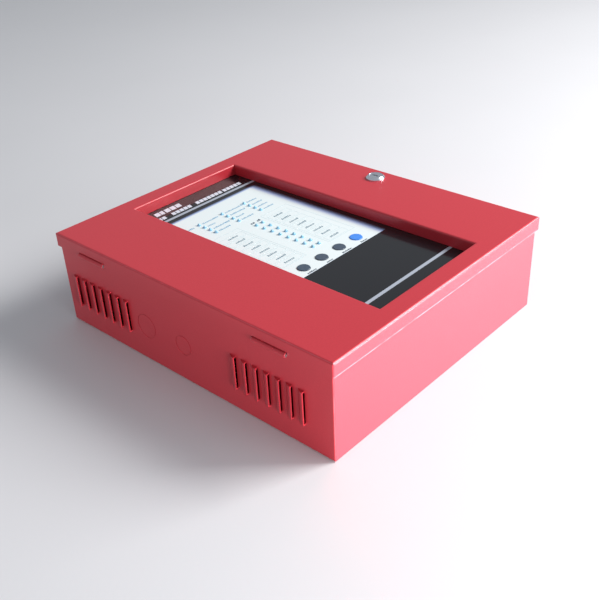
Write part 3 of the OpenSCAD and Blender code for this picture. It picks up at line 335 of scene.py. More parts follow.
# The display plate is black painted steel. The overlay on it is one sheet of printed gloss
# film: a black title band, a white field and a black field below. The white field fades softly
# into the black under the title band, which is print. It also fades along its right edge,
# mirrored at the left, and that fade is painted shade and reflection of the window's flange.
title_foot = 128.0          # lower edge of the title band
title_line = 124.4          # lower edge of the silver line under it
field_top = (119.5, 113.5)  # where the white field starts to show, and where it is full
field_foot = (-60.2, -59.8)
field_right_shade = (52.0, 65.0)
field_left_shade = (-68.0, -61.0)
foot_line = (-132.0, -128.4)
film_black = (0.010, 0.011, 0.014)
film_shadow = (0.30, 0.40, 0.66)
film_tinged = (0.60, 0.70, 0.88)
film_white = (0.84, 0.93, 0.94)
film_silver = (0.42, 0.47, 0.55)


def band(tree, value, low, high, edge=0.15):
    """1 between low and high, 0 outside, in millimetres."""
    return times(tree, step_up(tree, value, low - edge, low + edge),
                 step_up(tree, value, high + edge, high - edge))


plate_paint = finish_of("plate_paint", (0.02, 0.02, 0.022), (0.03, 0.03, 0.033), 0.006, (0.28, 0.4),
                        0.0011, 0.00003)
dress(plate_paint, "display_plate")

overlay_film = finish_of("overlay_film", film_white, film_white, 0.01, (0.10, 0.17), 0.003, 0.000004)
tree = overlay_film.node_tree
spot = put(tree, "SeparateXYZ", Vector=where(tree))
across, along = spot.outputs[0], spot.outputs[1]
# The fades at the field's right and left edges are painted shade and reflection of the window's flange. The
# fade under the title band is print.
fade = times(tree, step_up(tree, along, *field_top), step_up(tree, across, *reversed(field_right_shade)))
fade = times(tree, fade, step_up(tree, across, *field_left_shade))
fade = times(tree, fade, step_up(tree, along, *field_foot))
tone = put(tree, "ValToRGB", Fac=fade)
stops = tone.color_ramp.elements
stops[0].color = (*film_black, 1)
stops[1].color = (*film_white, 1)
for place, colour in ((0.5, film_shadow), (0.8, film_tinged)):
    stops.new(place).color = (*colour, 1)
tree.links.new(tone.outputs[0], shader_of(overlay_film).inputs["Base Color"])
silver = reckon(tree, "MAXIMUM", band(tree, along, title_line, title_foot),
                band(tree, along, *foot_line))
lay_over(overlay_film, silver, film_silver)
dress(overlay_film, "display_label")


# Everything else on the overlay is printed ink: plain blocks and bars stand for the title,
# the indicator names and the zone names, with pale frames for the zone slips. Places and
# sizes on the overlay are in millimetres.
ink_thick = 0.00006
ink_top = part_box("display_label")[1].z + ink_thick / 2
ink_foot = ink_top - ink_thick
letter_widths, letter_heights = (0.38, 0.72), (0.72, 0.72, 1.0)
letter_gap, word_end = 0.2, 0.4
title_lean, word_lean = 0.22, 0.18
title_blocks = [(-54.4, 6.2), (-47.4, 4.4), (-41.2, 6.4), (-33.8, 6.2), (-26.6, 6.2)]
title_words = [(-70, 4), (-41, 5), (-8, 7), (31, 5)]
title_letter, title_pitch = 4.5, 5.35
title_rows = ((141.4, 149.0), (131.2, 137.0))
status_x = (-41.5, -10.0, 21.5)
status_y, status_pitch, status_rows = 92.2, 8.2, 4
status_names = [(22, 10, 22, 16), (24, 22, 12, 17), (14, 14, 14, 15)]
name_gap, name_drop, name_high = 4.2, 1.1, 2.5
lone_name = (-60.5, 12.5)
zone_y, zone_pitch, zone_rows = 45.8, 10.55, 8
zone_marks = [(-8.4, 5.6), (0.4, 5.6)]
mark_foot, mark_high = 51.2, 3.4
zone_names = [(-46.3, 12.8), (18.0, 13.6)]
zone_drop, zone_high = 1.3, 2.9
slip_frames, slip_half, slip_line = [(-55, -25), (12.5, 40.5)], 4.3, 0.3
group_frames, group_ends, group_line = [(10.0, 48.0), (-57.5, -22.5)], (-34.0, 57.0), 0.35
button_x = (-42.5, -17.5, 7.5, 32.5)
button_names = (12, 9, 14, 10)
button_name_foot, button_name_high = -59.0, 2.2


def add_prism(shape, corners, low, high):
    """A flat block over four corners, from low to high above them."""
    foot, top = [[shape.verts.new(Vector(p) + Vector((0, 0, z))) for p in corners] for z in (low, high)]
    shape.faces.new(foot[::-1])
    shape.faces.new(top)
    for k in range(4):
        shape.faces.new((foot[k], foot[(k + 1) % 4], top[(k + 1) % 4], top[k]))


def ink_block(shape, x, y, wide, high, lean=0.0):
    """One flat printed patch, its lower left corner at x, y."""
    outline = [(x, y), (x + wide, y), (x + wide + lean * high, y + high), (x + lean * high, y + high)]
    add_prism(shape, [(cx * millimetre, cy * millimetre, 0) for cx, cy in outline], ink_foot, ink_top)


def ink_word(shape, x, y, wide, high, seed):
    """A word as a run of uneven blocks."""
    pick = random.Random(seed)
    at = x
    while at < x + wide - word_end * high:
        block = min(high * pick.uniform(*letter_widths), x + wide - at)
        tall = high * pick.choice(letter_heights)
        ink_block(shape, at, y, block, tall, word_lean)
        at += block + high * letter_gap


def ink_frame(shape, left, right, low, high, line):
    ink_block(shape, left, low, right - left, line)
    ink_block(shape, left, high - line, right - left, line)
    ink_block(shape, left, low + line, line, high - low - 2 * line)
    ink_block(shape, right - line, low + line, line, high - low - 2 * line)


def make_piece(name, shape, finish, body, smooth=False):
    """Turns a built shape into a piece that rides on a body."""
    mesh = bpy.data.meshes.new(name)
    if smooth:
        for face in shape.faces:
            face.smooth = True
    shape.to_mesh(mesh)
    shape.free()
    mesh.materials.append(finish)
    piece = show(name, mesh)
    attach(piece, body)
    return piece


ink_colours = {
    "white_ink": ((0.80, 0.84, 0.92), (0.70, 0.76, 0.88)),
    "blue_ink": ((0.22, 0.44, 0.62), (0.30, 0.52, 0.70)),
    "grey_ink": ((0.20, 0.30, 0.36), (0.27, 0.38, 0.44)),
    "dark_ink": ((0.03, 0.05, 0.09), (0.06, 0.09, 0.14)),
    "pale_ink": ((0.58, 0.75, 0.78), (0.52, 0.69, 0.75)),
}
inks = {name: finish_of(name, *pair, 0.002, (0.14, 0.22), 0.001, 0.000003)
        for name, pair in ink_colours.items()}

title = bmesh.new()
(block_foot, block_top), (word_foot, word_top) = title_rows
for x, wide in title_blocks:
    ink_block(title, x, block_foot, wide, block_top - block_foot, title_lean)
for x, letters in title_words:
    for k in range(letters):
        ink_block(title, x + title_pitch * k, word_foot, title_letter, word_top - word_foot, title_lean)
make_piece("overlay_title", title, inks["white_ink"], "case")

names = bmesh.new()
for column, x in enumerate(status_x):
    for row in range(status_rows):
        ink_word(names, x + name_gap, status_y - row * status_pitch - name_drop, status_names[column][row],
                 name_high, 10 * column + row)
ink_word(names, lone_name[0], status_y - name_drop, lone_name[1], name_high, 99)
make_piece("overlay_names", names, inks["blue_ink"], "case")
zones = bmesh.new()
for row in range(zone_rows):
    for column, (x, wide) in enumerate(zone_names):
        ink_word(zones, x, zone_y - row * zone_pitch - zone_drop, wide, zone_high, 200 + 10 * column + row)
make_piece("overlay_zones", zones, inks["grey_ink"], "case")

marks = bmesh.new()
for k, (x, wide) in enumerate(zone_marks):
    ink_word(marks, x, mark_foot, wide, mark_high, 300 + k)
for k, (x, wide) in enumerate(zip(button_x, button_names)):
    ink_word(marks, x - wide / 2, button_name_foot, wide, button_name_high, 310 + k)
make_piece("overlay_marks", marks, inks["dark_ink"], "case")

slips = bmesh.new()
for row in range(zone_rows):
    for left, right in slip_frames:
        y = zone_y - row * zone_pitch
        ink_frame(slips, left, right, y - slip_half, y + slip_half, slip_line)
for left, right in group_frames:
    ink_frame(slips, left, right, *group_ends, group_line)
make_piece("overlay_slips", slips, inks["pale_ink"], "case")


# The indicators are 3 mm lamps in a pale tinted epoxy, cast with a dome. They are unlit, so
# they look pale blue. A flat clear collar of the same tint seals each one to the film.
collar_r = 0.0022
collar_high = 0.00022
collar_bore = 0.00147
collar_sunk = 0.0001
collar_slope = 0.0001


def add_turned(shape, profile, middle, axis="Z", steps=24, hollow=False):
    """A turned body from (radius, height) pairs, standing on middle along an axis, closed with
    a flat end at each end of the profile or, if hollow, by joining the two."""
    rings = []
    for radius, height in profile:
        ring = []
        for k in range(steps):
            c, s = math.cos(math.tau * k / steps), math.sin(math.tau * k / steps)
            spot = {"Z": (radius * c, radius * s, height), "Y": (radius * s, height, radius * c),
                    "X": (height, radius * c, radius * s)}[axis]
            ring.append(shape.verts.new(Vector(spot) + Vector(middle)))
        rings.append(ring)
    if hollow:
        rings.append(rings[0])
    for low_ring, high_ring in zip(rings, rings[1:]):
        for k in range(steps):
            n = (k + 1) % steps
            shape.faces.new((low_ring[k], low_ring[n], high_ring[n], high_ring[k]))
    if not hollow:
        shape.faces.new(rings[0][::-1])
        shape.faces.new(rings[-1])


def solids_of(name):
    """Lowest and highest corner of each separate solid of a piece that comes with the frame."""
    shape = bmesh.new()
    shape.from_mesh(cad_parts[name].data)
    bmesh.ops.remove_doubles(shape, verts=shape.verts, dist=0.000001)
    left, found = set(shape.verts), []
    while left:
        queue, group = [left.pop()], []
        while queue:
            vert = queue.pop()
            group.append(vert.co.copy())
            for edge in vert.link_edges:
                other = edge.other_vert(vert)
                if other in left:
                    left.remove(other)
                    queue.append(other)
        found.append((Vector([min(c[i] for c in group) for i in range(3)]),
                      Vector([max(c[i] for c in group) for i in range(3)])))
    shape.free()
    return sorted(found, key=lambda pair: tuple(round(c, 6) for c in pair[0]))


lamp_tint = finish_of("indicator_epoxy", (0.34, 0.68, 0.92), (0.42, 0.76, 0.95), 0.0015, (0.26, 0.36),
                      0.001, 0.000004)
shader_of(lamp_tint).inputs["Transmission Weight"].default_value = 0.05
shader_of(lamp_tint).inputs["IOR"].default_value = 1.45
dress(lamp_tint, "status_leds", "zone_leds")
collars = bmesh.new()
collar = [(collar_bore, -collar_sunk), (collar_r, -collar_sunk), (collar_r, collar_high * 0.6),
          (collar_r - collar_slope, collar_high), (collar_bore, collar_high)]
for low, high in solids_of("status_leds") + solids_of("zone_leds"):
    middle = ((low.x + high.x) / 2, (low.y + high.y) / 2, ink_top)
    add_turned(collars, collar, middle, steps=20, hollow=True)
make_piece("indicator_collars", collars, lamp_tint, "case")


# Four moulded push buttons stand a little proud of the overlay. Three are slate grey and the
# one at the right is blue. Their switches sit on the board behind.
slate = finish_of("slate_button", (0.058, 0.086, 0.128), (0.076, 0.108, 0.152), 0.003, (0.3, 0.42),
                  0.0004, 0.000012)
dress(slate, "silence_button", "test_button", "evacuate_button")
blue = finish_of("blue_button", (0.055, 0.26, 0.86), (0.075, 0.31, 0.92), 0.003, (0.26, 0.38),
                 0.0004, 0.000012)
dress(blue, "reset_button")
black_mould = finish_of("black_moulding", (0.018, 0.018, 0.02), (0.028, 0.028, 0.031), 0.003,
                        (0.42, 0.58), 0.0003, 0.00002)
dress(black_mould, "button_switches", "buzzer", "display_chips", "display_header", "ribbon_plugs",
      "main_chips", "main_header", "mains_fuse_holder", "regulators")
clear_nylon = finish_of("nylon", (0.78, 0.78, 0.74), (0.70, 0.70, 0.66), 0.002, (0.4, 0.5),
                        0.0005, 0.00001)
dress(clear_nylon, "display_spacers")


# Both circuit boards are glass epoxy with a green mask, tinned tracks under it and a white
# printed legend. The main board stands on posts behind the display, at the left.
board_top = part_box("main_pcb")[1].z
board_low, board_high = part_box("main_pcb")
print_sunk = 0.00002
track_height, track_width, track_count = 0.00005, 0.00045, 170
track_margin, track_runs, track_reach = 0.003, 3, (0.004, 0.028)
legend_height, legend_line, legend_margin = 0.00006, 0.00028, 0.0009


def add_block(shape, low, high, bevel=0.0):
    """A block between two corners, with its edges rounded over if asked."""
    made = bmesh.ops.create_cube(shape, size=1)["verts"]
    size = [h - l for l, h in zip(low, high)]
    middle = [(h + l) / 2 for l, h in zip(low, high)]
    for vert in made:
        vert.co = Vector([vert.co[i] * size[i] + middle[i] for i in range(3)])
    if bevel:
        edges = dict.fromkeys(e for v in made for e in v.link_edges)
        bmesh.ops.bevel(shape, geom=list(edges), offset=bevel, segments=2, profile=0.5, affect="EDGES")


board_mask = finish_of("board_mask", (0.012, 0.15, 0.065), (0.018, 0.19, 0.085), 0.02, (0.22, 0.34),
                       0.0012, 0.000008)
dress(board_mask, "main_pcb", "display_pcb")
track_mask = finish_of("track_mask", (0.03, 0.27, 0.12), (0.04, 0.32, 0.15), 0.01, (0.2, 0.3),
                       0.001, 0.000006)
legend_ink = finish_of("legend_ink", (0.78, 0.80, 0.78), (0.70, 0.73, 0.70), 0.002, (0.5, 0.6),
                       0.0006, 0.000006)

part_spots = []
for name in ("main_chips", "relays", "capacitors", "heatsink", "regulators", "board_fuses", "main_header",
             "zone_terminals", "output_terminals", "power_terminals", "main_pcb_screws"):
    part_spots += [(low.x, low.y, high.x, high.y) for low, high in solids_of(name)]

tracks = bmesh.new()
route_pick = random.Random(7)
x_ends = (board_low.x + track_margin, board_high.x - track_margin)
y_ends = (board_low.y + track_margin, board_high.y - track_margin)
pad = [(track_width * 0.9, -print_sunk), (track_width * 0.9, track_height)]
for _ in range(track_count):
    spot = Vector((route_pick.uniform(*x_ends), route_pick.uniform(*y_ends), board_top))
    way = route_pick.choice((0, 90, 180, 270))
    for _ in range(track_runs):
        reach = route_pick.uniform(*track_reach)
        ahead = Vector((math.cos(math.radians(way)), math.sin(math.radians(way)), 0))
        end = spot + ahead * reach
        if not (x_ends[0] < end.x < x_ends[1] and y_ends[0] < end.y < y_ends[1]):
            break
        side = Vector((-ahead.y, ahead.x, 0)) * track_width / 2
        add_prism(tracks, (spot - side, end - side, end + side, spot + side), -print_sunk, track_height)
        add_turned(tracks, pad, end, steps=8)
        spot, way = end, way + route_pick.choice((-45, 45))
make_piece("board_tracks", tracks, track_mask, "case")

legend = bmesh.new()
ink_z = (board_top - print_sunk, board_top + legend_height)
for left, low, right, high in part_spots:
    left, low = left - legend_margin, low - legend_margin
    right, high = right + legend_margin, high + legend_margin
    if left < board_low.x or right > board_high.x or low < board_low.y or high > board_high.y:
        continue
    for a, b, c, d in ((left, low, right, low + legend_line), (left, high - legend_line, right, high),
                       (left, low, left + legend_line, high), (right - legend_line, low, right, high)):
        add_block(legend, (a, b, ink_z[0]), (c, d, ink_z[1]))


# Small parts are soldered all over the main board where nothing larger stands: chip
# resistors and capacitors with tinned ends, banded film resistors, small electrolytics.
chip_size, chip_end, chip_count = (0.0020, 0.00125, 0.00060), 0.00040, 110
chip_body_in, chip_end_out = (0.00005, 0.00004), 0.0001
film_r, film_long, film_leg, film_count = 0.0011, 0.0066, 0.0015, 26
film_room, film_lift, film_lead_r = 0.0036, 0.0002, 0.00030
film_ring, film_rings = 0.0004, (-0.0016, -0.0006, 0.0004, 0.0016)
can_r, can_tall, can_stretch, can_count = 0.0025, 0.0075, (0.8, 1.4), 9
spare_gap, part_margin, part_grid, part_tries = 0.0008, 0.004, 0.00127, 400
tick_low, tick_high = (0.0004, 0.0007), (0.0009, 0.0014)

solder = finish_of("solder", (0.62, 0.63, 0.65), (0.50, 0.51, 0.53), 0.001, (0.25, 0.4),
                   0.0004, 0.00001, metal=1.0)
chip_body = finish_of("chip_part_body", (0.03, 0.03, 0.032), (0.16, 0.11, 0.07), 0.004, (0.4, 0.55),
                      0.0003, 0.000006)
film_tan = finish_of("film_resistor_lacquer", (0.56, 0.38, 0.20), (0.48, 0.31, 0.16), 0.002, (0.3, 0.4),
                     0.0003, 0.000006)
can_black = finish_of("can_sleeve", (0.012, 0.014, 0.02), (0.018, 0.02, 0.03), 0.003, (0.18, 0.28),
                      0.0006, 0.000005)

part_pick = random.Random(21)


def free_spot(wide, deep):
    """A place on the board for a part of that size, clear of every part placed so far."""
    for _ in range(part_tries):
        x = part_pick.uniform(board_low.x + part_margin + wide / 2, board_high.x - part_margin - wide / 2)
        y = part_pick.uniform(board_low.y + part_margin + deep / 2, board_high.y - part_margin - deep / 2)
        x, y = round(x / part_grid) * part_grid, round(y / part_grid) * part_grid
        box = (x - wide / 2 - spare_gap, y - deep / 2 - spare_gap, x + wide / 2 + spare_gap,
               y + deep / 2 + spare_gap)
        if all(box[0] > s[2] or box[2] < s[0] or box[1] > s[3] or box[3] < s[1] for s in part_spots):
            part_spots.append(box)
            return x, y
    return None


def corners_of(long_way, along, across, up):
    """Both corners of a block from its ends along a part, across it and up; long_way is 0 if
    the part lies along X and 1 if along Y."""
    flat = (across, along) if long_way else (along, across)
    return list(zip(*flat, up))


cans, can_tops, films, film_bands, leads, chips = [bmesh.new() for _ in range(6)]
for _ in range(can_count):
    spot = free_spot(2 * can_r, 2 * can_r)
    if spot:
        tall = can_tall * part_pick.uniform(*can_stretch)
        groove = [(can_r, 0.0006), (can_r * 0.94, 0.0011), (can_r, 0.0016)]
        shoulder = [(can_r, tall - 0.0004), (can_r * 0.88, tall)]
        add_turned(cans, [(can_r * 0.92, 0)] + groove + shoulder, (*spot, board_top))
        top = [(can_r * 0.8, tall - 0.0002), (can_r * 0.8, tall + 0.00004)]
        add_turned(can_tops, top, (*spot, board_top))
half, film_z = film_long / 2, board_top + film_r + film_lift
film_end = [(film_r * 0.7, half), (film_r, half - 0.0005), (film_r, half - 0.0014),
            (film_r * 0.86, half - 0.0018)]
film_shape = [(radius, -at) for radius, at in film_end] + film_end[::-1]
lead_shape = [(film_lead_r, -half - film_leg), (film_lead_r, half + film_leg)]
leg_shape = [(film_lead_r * 2.2, 0), (film_lead_r, 0.0005), (film_lead_r, film_z - board_top)]
for k in range(film_count):
    upright = k % 2
    size = (2 * film_r, film_long + film_room)
    spot = free_spot(*(size if upright else size[::-1]))
    if spot:
        axis = "Y" if upright else "X"
        add_turned(films, film_shape, (*spot, film_z), axis, 12)
        for at in film_rings:
            ring = [(film_r * 0.9, at), (film_r * 0.9, at + film_ring)]
            add_turned(film_bands, ring, (*spot, film_z), axis, 12)
        add_turned(leads, lead_shape, (*spot, film_z), axis, 6)
        for end in (-half - film_leg, half + film_leg):
            foot = (spot[0], spot[1] + end, board_top) if upright else (spot[0] + end, spot[1], board_top)
            add_turned(leads, leg_shape, foot, "Z", 6)
for k in range(chip_count):
    long_way = 1 - k % 2
    size = (chip_size[long_way], chip_size[1 - long_way])
    spot = free_spot(*size)
    if spot:
        low = (spot[0] - size[0] / 2, spot[1] - size[1] / 2, board_top)
        high = (spot[0] + size[0] / 2, spot[1] + size[1] / 2, board_top + chip_size[2])
        add_block(chips, (*low[:2], low[2] + chip_body_in[0]), (*high[:2], high[2] - chip_body_in[1]))
        across = (low[1 - long_way], high[1 - long_way])
        start, stop = low[long_way], high[long_way]
        for ends in ((start - chip_end_out, start + chip_end), (stop - chip_end, stop + chip_end_out)):
            add_block(leads, *corners_of(long_way, ends, across, (low[2], high[2])))
        add_block(legend, (low[0] - tick_low[0], high[1] + tick_low[1], ink_z[0]),
                  (low[0] + tick_high[0], high[1] + tick_high[1], ink_z[1]))
make_piece("board_legend", legend, legend_ink, "case")
make_piece("small_cans", cans, can_black, "case")
make_piece("small_can_tops", can_tops, solder, "case")
make_piece("film_resistors", films, film_tan, "case", smooth=True)
make_piece("film_resistor_bands", film_bands, inks["dark_ink"], "case")
make_piece("chip_parts", chips, chip_body, "case")


# The logic chips are black moulded packages. Two rows of tinned legs bend down to the
# board, and a dimple and a printed bar mark the top.
leg_pitch, leg_out, leg_wide, leg_thick, leg_sunk = 0.00254, 0.0010, 0.0005, 0.00025, 0.0001
dimple_r, dimple_in, dimple_high = 0.0006, 0.0016, 0.00006
print_start, print_shares, print_pitch = 0.18, (0.62, 0.42), 0.0022
print_half, print_high = 0.00035, 0.00004

chip_marks = bmesh.new()
for low, high in solids_of("main_chips"):
    long_way = 0 if high.x - low.x > high.y - low.y else 1
    across_way = 1 - long_way
    span = high[long_way] - low[long_way]
    count = max(2, int(span / leg_pitch))
    first = (low[long_way] + high[long_way]) / 2 - leg_pitch * (count - 1) / 2
    shoulder = (low.z + high.z) / 2
    for k in range(count):
        at = first + k * leg_pitch
        along = (at - leg_wide / 2, at + leg_wide / 2)
        for side, edge in ((-1, low[across_way]), (1, high[across_way])):
            arm = sorted((edge - side * leg_sunk, edge + side * leg_out))
            add_block(leads, *corners_of(long_way, along, arm, (shoulder - leg_thick, shoulder)))
            leg = sorted((edge + side * (leg_out - leg_thick), edge + side * leg_out))
            add_block(leads, *corners_of(long_way, along, leg, (board_top, shoulder - leg_thick)))
    dimple = (low.x + dimple_in, low.y + dimple_in, high.z - print_sunk)
    add_turned(chip_marks, [(dimple_r, 0), (dimple_r, dimple_high)], dimple, steps=12)
    for row, share in enumerate(print_shares):
        mid = (low[across_way] + high[across_way]) / 2 + (row - 0.5) * print_pitch
        start = low[long_way] + span * print_start
        add_block(chip_marks, *corners_of(long_way, (start, start + span * share),
                                          (mid - print_half, mid + print_half),
                                          (high.z - print_sunk, high.z + print_high)))
make_piece("board_leads", leads, solder, "case")
chip_print = finish_of("chip_print", (0.42, 0.42, 0.44), (0.34, 0.34, 0.36), 0.002, (0.5, 0.6),
                       0.0005, 0.000004)
make_piece("chip_marks", chip_marks, chip_print, "case")


# Three sealed relays in blue moulded covers, each with a seam round its foot, a small vent
# pip and plain printed bars on top.
relay_blue = finish_of("relay_cover", (0.022, 0.07, 0.27), (0.03, 0.09, 0.33), 0.004, (0.24, 0.34),
                       0.0006, 0.00001)
relay_foot, relay_step, relay_round = 0.0022, 0.0003, 0.0007
pip_r, pip_in, pip_ends = 0.0008, 0.0025, (-0.0002, 0.0003)
relay_bars, relay_bar_pitch, relay_bar_wide = (0.0115, 0.0085, 0.0100, 0.0060), 0.0028, 0.0009
relay_bar_in = (0.0022, 0.003)
relay_print_ends = (-0.00001, 0.00003)
relays, relay_prints = bmesh.new(), bmesh.new()
for low, high in solids_of("relays"):
    add_block(relays, low, (high.x, high.y, low.z + relay_foot), relay_step)
    add_block(relays, (low.x + relay_step, low.y + relay_step, low.z + 0.002),
              (high.x - relay_step, high.y - relay_step, high.z), relay_round)
    add_turned(relays, [(pip_r, z) for z in pip_ends], (high.x - pip_in, high.y - pip_in, high.z), steps=12)
    for k, end in enumerate(relay_bars):
        y = low.y + relay_bar_in[1] + relay_bar_pitch * k
        add_block(relay_prints, (low.x + relay_bar_in[0], y, high.z + relay_print_ends[0]),
                  (low.x + end, y + relay_bar_wide, high.z + relay_print_ends[1]))
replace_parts(make_piece("relay_covers", relays, relay_blue, "case"), "relays")
make_piece("relay_prints", relay_prints, legend_ink, "case")


# Four large electrolytic capacitors in dark shrunk sleeves. A groove is rolled in near the
# foot, a pale stripe marks one side and the bare top is scored with a cross.
sleeve = finish_of("large_can_sleeve", (0.010, 0.014, 0.035), (0.016, 0.022, 0.05), 0.006, (0.16, 0.26),
                   0.001, 0.000006)
stripe_ink = finish_of("sleeve_stripe", (0.62, 0.64, 0.68), (0.55, 0.57, 0.60), 0.003, (0.2, 0.3),
                       0.001, 0.000006)
cross_half, cross_ends = 0.00025, (0.0005, 0.00022)
stripe_arc, stripe_depths, stripe_foot, stripe_drop = (200, 251, 5), (-0.0001, 0.00006), 0.0042, 0.0014
large_cans, can_lids, stripes = bmesh.new(), bmesh.new(), bmesh.new()
for low, high in solids_of("capacitors"):
    r, tall = (high.x - low.x) / 2 - 0.0001, high.z - low.z
    x, y, z = (low.x + high.x) / 2, (low.y + high.y) / 2, low.z
    groove = [(r, 0.0020), (r * 0.93, 0.0028), (r, 0.0036)]
    crimp = [(r, tall - 0.0010), (r * 0.96, tall - 0.0003), (r * 0.86, tall - 0.0002),
             (r * 0.84, tall - 0.0005)]
    add_turned(large_cans, [(r * 0.9, 0), (r, 0.0008)] + groove + crimp, (x, y, z), steps=40)
    add_turned(can_lids, [(r * 0.84, tall - 0.0008), (r * 0.84, tall - 0.0004)], (x, y, z), steps=40)
    for half_x, half_y in ((r * 0.6, cross_half), (cross_half, r * 0.6)):
        add_block(can_lids, (x - half_x, y - half_y, z + tall - cross_ends[0]),
                  (x + half_x, y + half_y, z + tall - cross_ends[1]))
    arc = [math.radians(a) for a in range(*stripe_arc)]
    for a, b in zip(arc, arc[1:]):
        quads = []
        for radius in [r + depth for depth in stripe_depths]:
            for up in (stripe_foot, tall - stripe_drop):
                ends = [(x + radius * math.cos(t), y + radius * math.sin(t), z + up) for t in (a, b)]
                quads.append([stripes.verts.new(end) for end in ends])
        (i0, i1), (j0, j1), (k0, k1), (l0, l1) = quads
        for corner in ((k0, k1, l1, l0), (i1, i0, j0, j1), (i0, i1, k1, k0), (j1, j0, l0, l1),
                       (i0, k0, l0, j0), (i1, j1, l1, k1)):
            stripes.faces.new(corner)
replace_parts(make_piece("capacitor_sleeves", large_cans, sleeve, "case"), "capacitors")
make_piece("capacitor_lids", can_lids, solder, "case")
make_piece("capacitor_stripes", stripes, stripe_ink, "case")


# A black anodised extruded heatsink cools two regulators bolted to it. Green screw
# terminals stand along the edges of the board, and grey ribbon joins it to the display.
anodised = finish_of("black_anodised", (0.035, 0.035, 0.038), (0.055, 0.055, 0.06), 0.004, (0.35, 0.5),
                     0.0005, 0.000015, metal=0.6, stretch=(1, 1, 0.15))
dress(anodised, "heatsink")
terminal_green = finish_of("terminal_moulding", (0.035, 0.27, 0.11), (0.045, 0.32, 0.14), 0.004,
                           (0.32, 0.45), 0.0004, 0.00002)
dress(terminal_green, "zone_terminals", "output_terminals", "power_terminals")

ribbon_low, ribbon_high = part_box("ribbon_cable")
ribbon_ways = 20
ribbon_pitch = (ribbon_high.x - ribbon_low.x) / ribbon_ways
ribbon_groove = 0.00018
ribbon_mark = (0.45, 0.03, 0.03)
ribbon_grey = finish_of("ribbon_pvc", (0.42, 0.43, 0.46), (0.36, 0.37, 0.40), 0.01, (0.4, 0.5),
                        0.0006, 0.00001)
tree = ribbon_grey.node_tree
from_edge = reckon(tree, "SUBTRACT", put(tree, "SeparateXYZ", Vector=where(tree)).outputs[0], ribbon_low.x)
ridge = reckon(tree, "COSINE", times(tree, from_edge, math.tau / ribbon_pitch))
add_relief(ribbon_grey, ridge, -ribbon_groove)
lay_over(ribbon_grey, reckon(tree, "LESS_THAN", from_edge, ribbon_pitch), ribbon_mark)
dress(ribbon_grey, "ribbon_cable")


# Three glass cartridge fuses sit in sprung clips: a clear tube with a fine wire in it and a
# plated cap at each end.
fuse_glass = finish_of("fuse_glass", (0.86, 0.90, 0.90), (0.80, 0.86, 0.86), 0.002, (0.02, 0.05),
                       0.001, 0.000002)
shader_of(fuse_glass).inputs["Transmission Weight"].default_value = 0.95
shader_of(fuse_glass).inputs["IOR"].default_value = 1.2
fuse_r, tube_r, cap_r, fuse_wire_r = 0.0026, 0.0024, (0.0021, 0.0026, 0.0025), 0.00012
cap_long, cap_in, cap_lap, cap_lips = 0.0052, 0.0003, 0.0002, (0.0004, 0.0003)
clip_wide, clip_ends, clip_rise, clip_foot = 0.0040, (0.00262, 0.0031), 0.0018, 0.0005
tubes, fuse_metal = bmesh.new(), bmesh.new()
for low, high in solids_of("board_fuses"):
    x, z = (low.x + high.x) / 2, high.z - fuse_r
    glass_ends = (low.y + cap_long - cap_lap, high.y - cap_long + cap_lap)
    add_turned(tubes, [(tube_r, y) for y in glass_ends], (x, 0, z), "Y")
    for start, end in ((low.y + cap_in, low.y + cap_long), (high.y - cap_long, high.y - cap_in)):
        cap = [(cap_r[0], start), (cap_r[1], start + cap_lips[0]), (cap_r[1], end - cap_lips[1]),
               (cap_r[2], end)]
        add_turned(fuse_metal, cap, (x, 0, z), "Y")
        y0, y1 = (start + end) / 2 - clip_wide / 2, (start + end) / 2 + clip_wide / 2
        for side in (-1, 1):
            x0, x1 = sorted(x + side * out for out in clip_ends)
            add_block(fuse_metal, (x0, y0, board_top), (x1, y1, z + clip_rise), 0.0001)
        add_block(fuse_metal, (x - clip_ends[1], y0, board_top),
                  (x + clip_ends[1], y1, board_top + clip_foot))
    add_turned(fuse_metal, [(fuse_wire_r, low.y + 0.004), (fuse_wire_r, high.y - 0.004)], (x, 0, z), "Y", 6)
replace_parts(make_piece("fuse_tubes", tubes, fuse_glass, "case"), "board_fuses")
make_piece("fuse_metalwork", fuse_metal, zinc_turned, "case")


# The mains transformer: varnished steel laminations stacked across the case, a taped
# winding on a black bobbin through them, and a zinc strap down to two nuts.
core_low, core_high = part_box("transformer_core")
sheet_pitch, sheet_groove = 0.0005, 0.00008
tape_pitch, tape_step = 0.0052, 0.00012
cheek_thick, cheek_out, cheek_gap, cheek_round = 0.0010, 0.0008, 0.0001, 0.0002
laminations = finish_of("laminations", (0.10, 0.10, 0.11), (0.16, 0.155, 0.15), 0.005, (0.35, 0.5),
                        0.0006, 0.00001, metal=0.7)
tree = laminations.node_tree
x_here = put(tree, "SeparateXYZ", Vector=where(tree)).outputs[0]
add_relief(laminations, reckon(tree, "COSINE", times(tree, x_here, math.tau / sheet_pitch)), sheet_groove)
dress(laminations, "transformer_core")

tape = finish_of("winding_tape", (0.62, 0.44, 0.07), (0.54, 0.37, 0.05), 0.006, (0.2, 0.32),
                 0.0008, 0.000012)
tree = tape.node_tree
z_here = put(tree, "SeparateXYZ", Vector=where(tree)).outputs[2]
add_relief(tape, reckon(tree, "FRACT", reckon(tree, "DIVIDE", z_here, tape_pitch)), tape_step)
dress(tape, "transformer_winding")

coil_low, coil_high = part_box("transformer_winding")
bobbin = bmesh.new()
y0, y1 = coil_low.y - cheek_out, coil_high.y + cheek_out
for z in (coil_low.z, coil_high.z - cheek_thick):
    for x0, x1 in ((coil_low.x - cheek_out, core_low.x - cheek_gap),
                   (core_high.x + cheek_gap, coil_high.x + cheek_out)):
        add_block(bobbin, (x0, y0, z), (x1, y1, z + cheek_thick), cheek_round)
make_piece("transformer_bobbin", bobbin, black_mould, "case")


